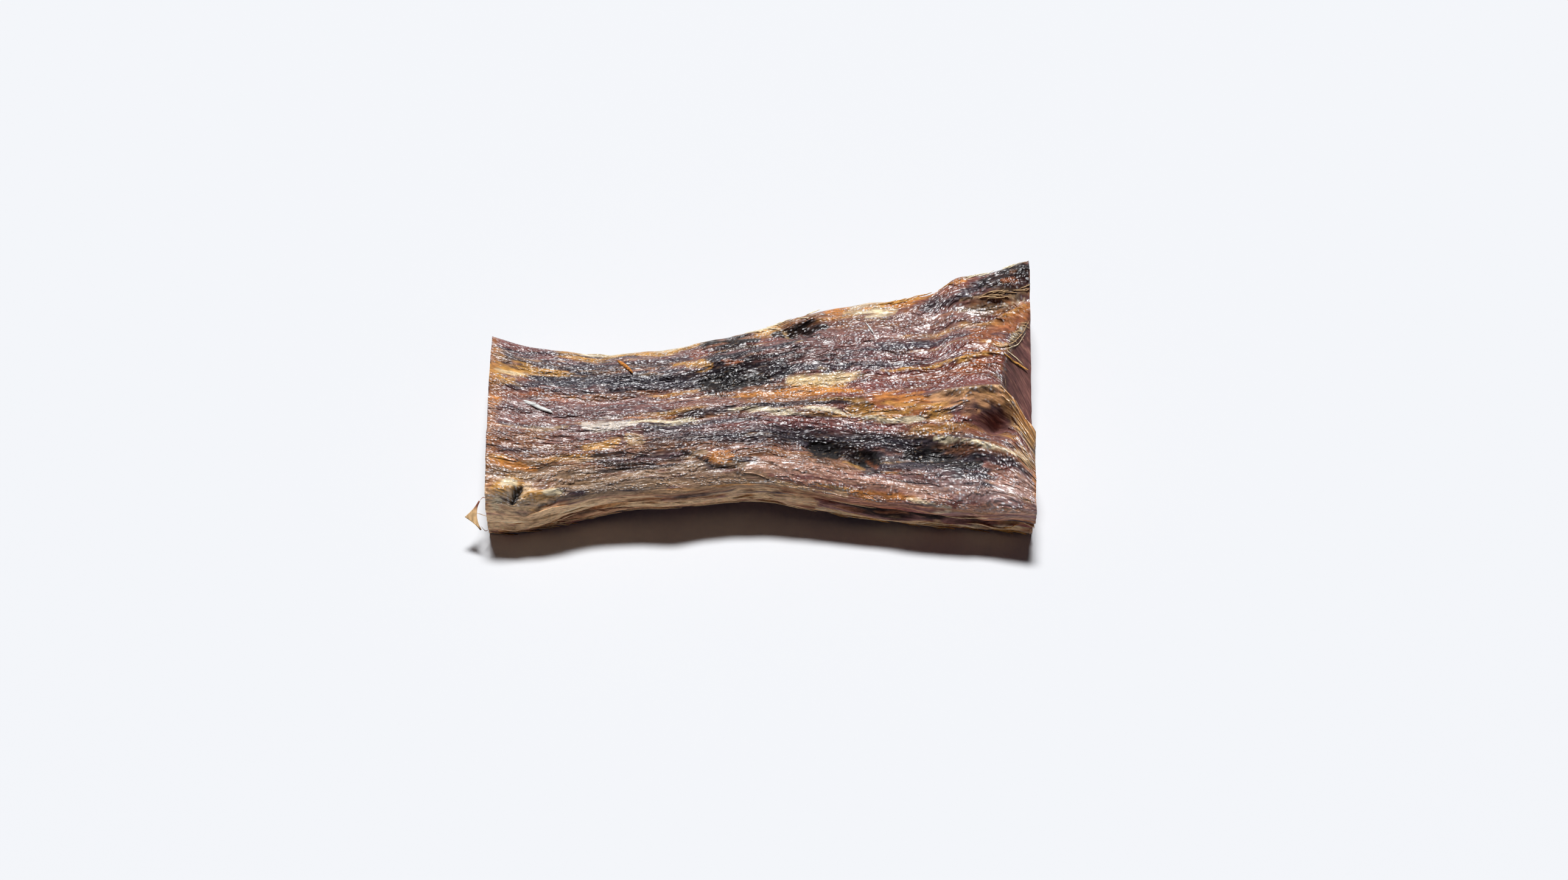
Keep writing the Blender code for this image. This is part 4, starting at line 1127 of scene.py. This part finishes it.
bpy.ops.object.select_all(action="DESELECT")
bpy.ops.mesh.primitive_grid_add(x_subdivisions=CURL_CELLS[0], y_subdivisions=CURL_CELLS[1], size=2)
curl = bpy.context.object
curl.name = "curl"
along_curl, over_curl, _ = (points_of(curl).T + 1) / 2
upper, lower, point, pull = (np.array(p)[:, None] for p in (*CURL_HORNS, CURL_POINT, CURL_INSIDE))
inner = (1 - along_curl) ** 2 * upper + 2 * along_curl * (1 - along_curl) * pull + along_curl**2 * lower
half = 2 * np.minimum(along_curl, 1 - along_curl)
outer = np.where(along_curl < 0.5, upper, lower) * (1 - half) + point * half
outer[0] += CURL_BULGE * np.sin(math.pi * half)
leaf = inner + (outer - inner) * over_curl
cup = CURL_CUP[0] * (np.sin(math.pi * along_curl) - 1) + CURL_CUP[1] * over_curl
leaf_places = np.stack((
    CURL_MIDDLE[0] + leaf[0],
    CURL_MIDDLE[1] + leaf[1] * math.cos(CURL_TILT) - cup * math.sin(CURL_TILT),
    CURL_MIDDLE[2] + leaf[1] * math.sin(CURL_TILT) + cup * math.cos(CURL_TILT),
), axis=1)
move_points(curl, leaf_places)
thicken = curl.modifiers.new("thickness", "SOLIDIFY")
thicken.thickness = CURL_THICKNESS * MM
thicken.offset = 0
bpy.ops.object.modifier_apply(modifier="thickness")
leaf_places = points_of(curl) / MM
from_middle = leaf_places[:, 1] - CURL_MIDDLE[1]
leaf_tint = np.tile(np.array(CURL_AMBER), (len(leaf_places), 1))
leaf_tint = paint(leaf_tint, CURL_RED, rise(from_middle, *CURL_RED_FROM))
leaf_tint = paint(leaf_tint, BROWN, rise(-from_middle, *CURL_BROWN_FROM))
write_look(curl, leaf_tint, np.full(len(leaf_places), CURL_GLOSS))
curl.data.uv_layers[0].name = "grain"
map_grain(curl, leaf_places[corners_of(curl)][:, (1, 0)])
bpy.ops.object.shade_smooth()
curl.data.materials.append(heartwood)
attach(curl, "root")

# The table is a plain pale sheet of matte paper, much larger than the chip. It isn't part of the object and
# is only there to lie on.

TABLE_SIZE = 2.0  # in metres
TABLE_COLOUR = (0.82, 0.84, 0.87)
TABLE_ROUGHNESS = 0.75

bpy.ops.mesh.primitive_plane_add(size=TABLE_SIZE)
table = bpy.context.object
table.name = "table"
paper, wire, shader = new_material("pale paper")
plug(shader, Base_Color=(*TABLE_COLOUR, 1), Roughness=TABLE_ROUGHNESS)
table.data.materials.append(paper)

# The light is plain studio light from behind and high up. Three suns side by side stand for one wide lamp, so
# the shadow's edge is soft. The room gives a faint even fill, and is as pale as the table where it is seen.

KEY_ELEVATION = math.radians(63)
KEY_TURNS = (-10, 0, 10)
KEY_POWER = 3.75
KEY_ANGLE = math.radians(9)
FILL_COLOUR = (0.95, 0.68, 0.95)
FILL_STRENGTH = 0.018
BACKDROP = (0.84, 0.855, 0.89)

for turn in KEY_TURNS:
    bpy.ops.object.light_add(type="SUN", rotation=(-(math.pi / 2 - KEY_ELEVATION), 0, math.radians(turn)))
    key = bpy.context.object
    key.name = f"key {turn}"
    key.data.energy = KEY_POWER / len(KEY_TURNS)
    key.data.angle = KEY_ANGLE

room = bpy.data.worlds.new("room")
room.use_nodes = True
room.node_tree.nodes.remove(room.node_tree.nodes["Background"])
wire = Wire(room.node_tree)
fill = wire.node("Background", (), {"Color": (*FILL_COLOUR, 1), "Strength": FILL_STRENGTH})
backdrop = wire.node("Background", (), {"Color": (*BACKDROP, 1)})
seen = wire.node("LightPath")
choice = wire.node("MixShader", (), {0: seen, 1: fill, 2: backdrop})
room.node_tree.links.new(choice.socket, room.node_tree.nodes["World Output"].inputs["Surface"])
bpy.context.scene.world = room
bpy.context.scene.view_settings.view_transform = "Standard"

# The camera looks down on the near side at 60 degrees with a long lens, as in the photograph, and all of the
# chip is in focus.

LOOK_AT = (1.55, -0.95, 0.0)
ELEVATION = math.radians(60)
DISTANCE = 169.7
LENS = 83.56
SENSOR = 36.0
CLIP_START = 0.005  # in metres

bpy.ops.object.camera_add(
    location=(
        LOOK_AT[0] * MM,
        (LOOK_AT[1] - DISTANCE * math.cos(ELEVATION)) * MM,
        DISTANCE * math.sin(ELEVATION) * MM,
    ),
    rotation=(math.pi / 2 - ELEVATION, 0, 0),
)
camera = bpy.context.object
camera.data.lens = LENS
camera.data.sensor_width = SENSOR
camera.data.clip_start = CLIP_START
bpy.context.scene.camera = camera

bpy.context.view_layer.update()
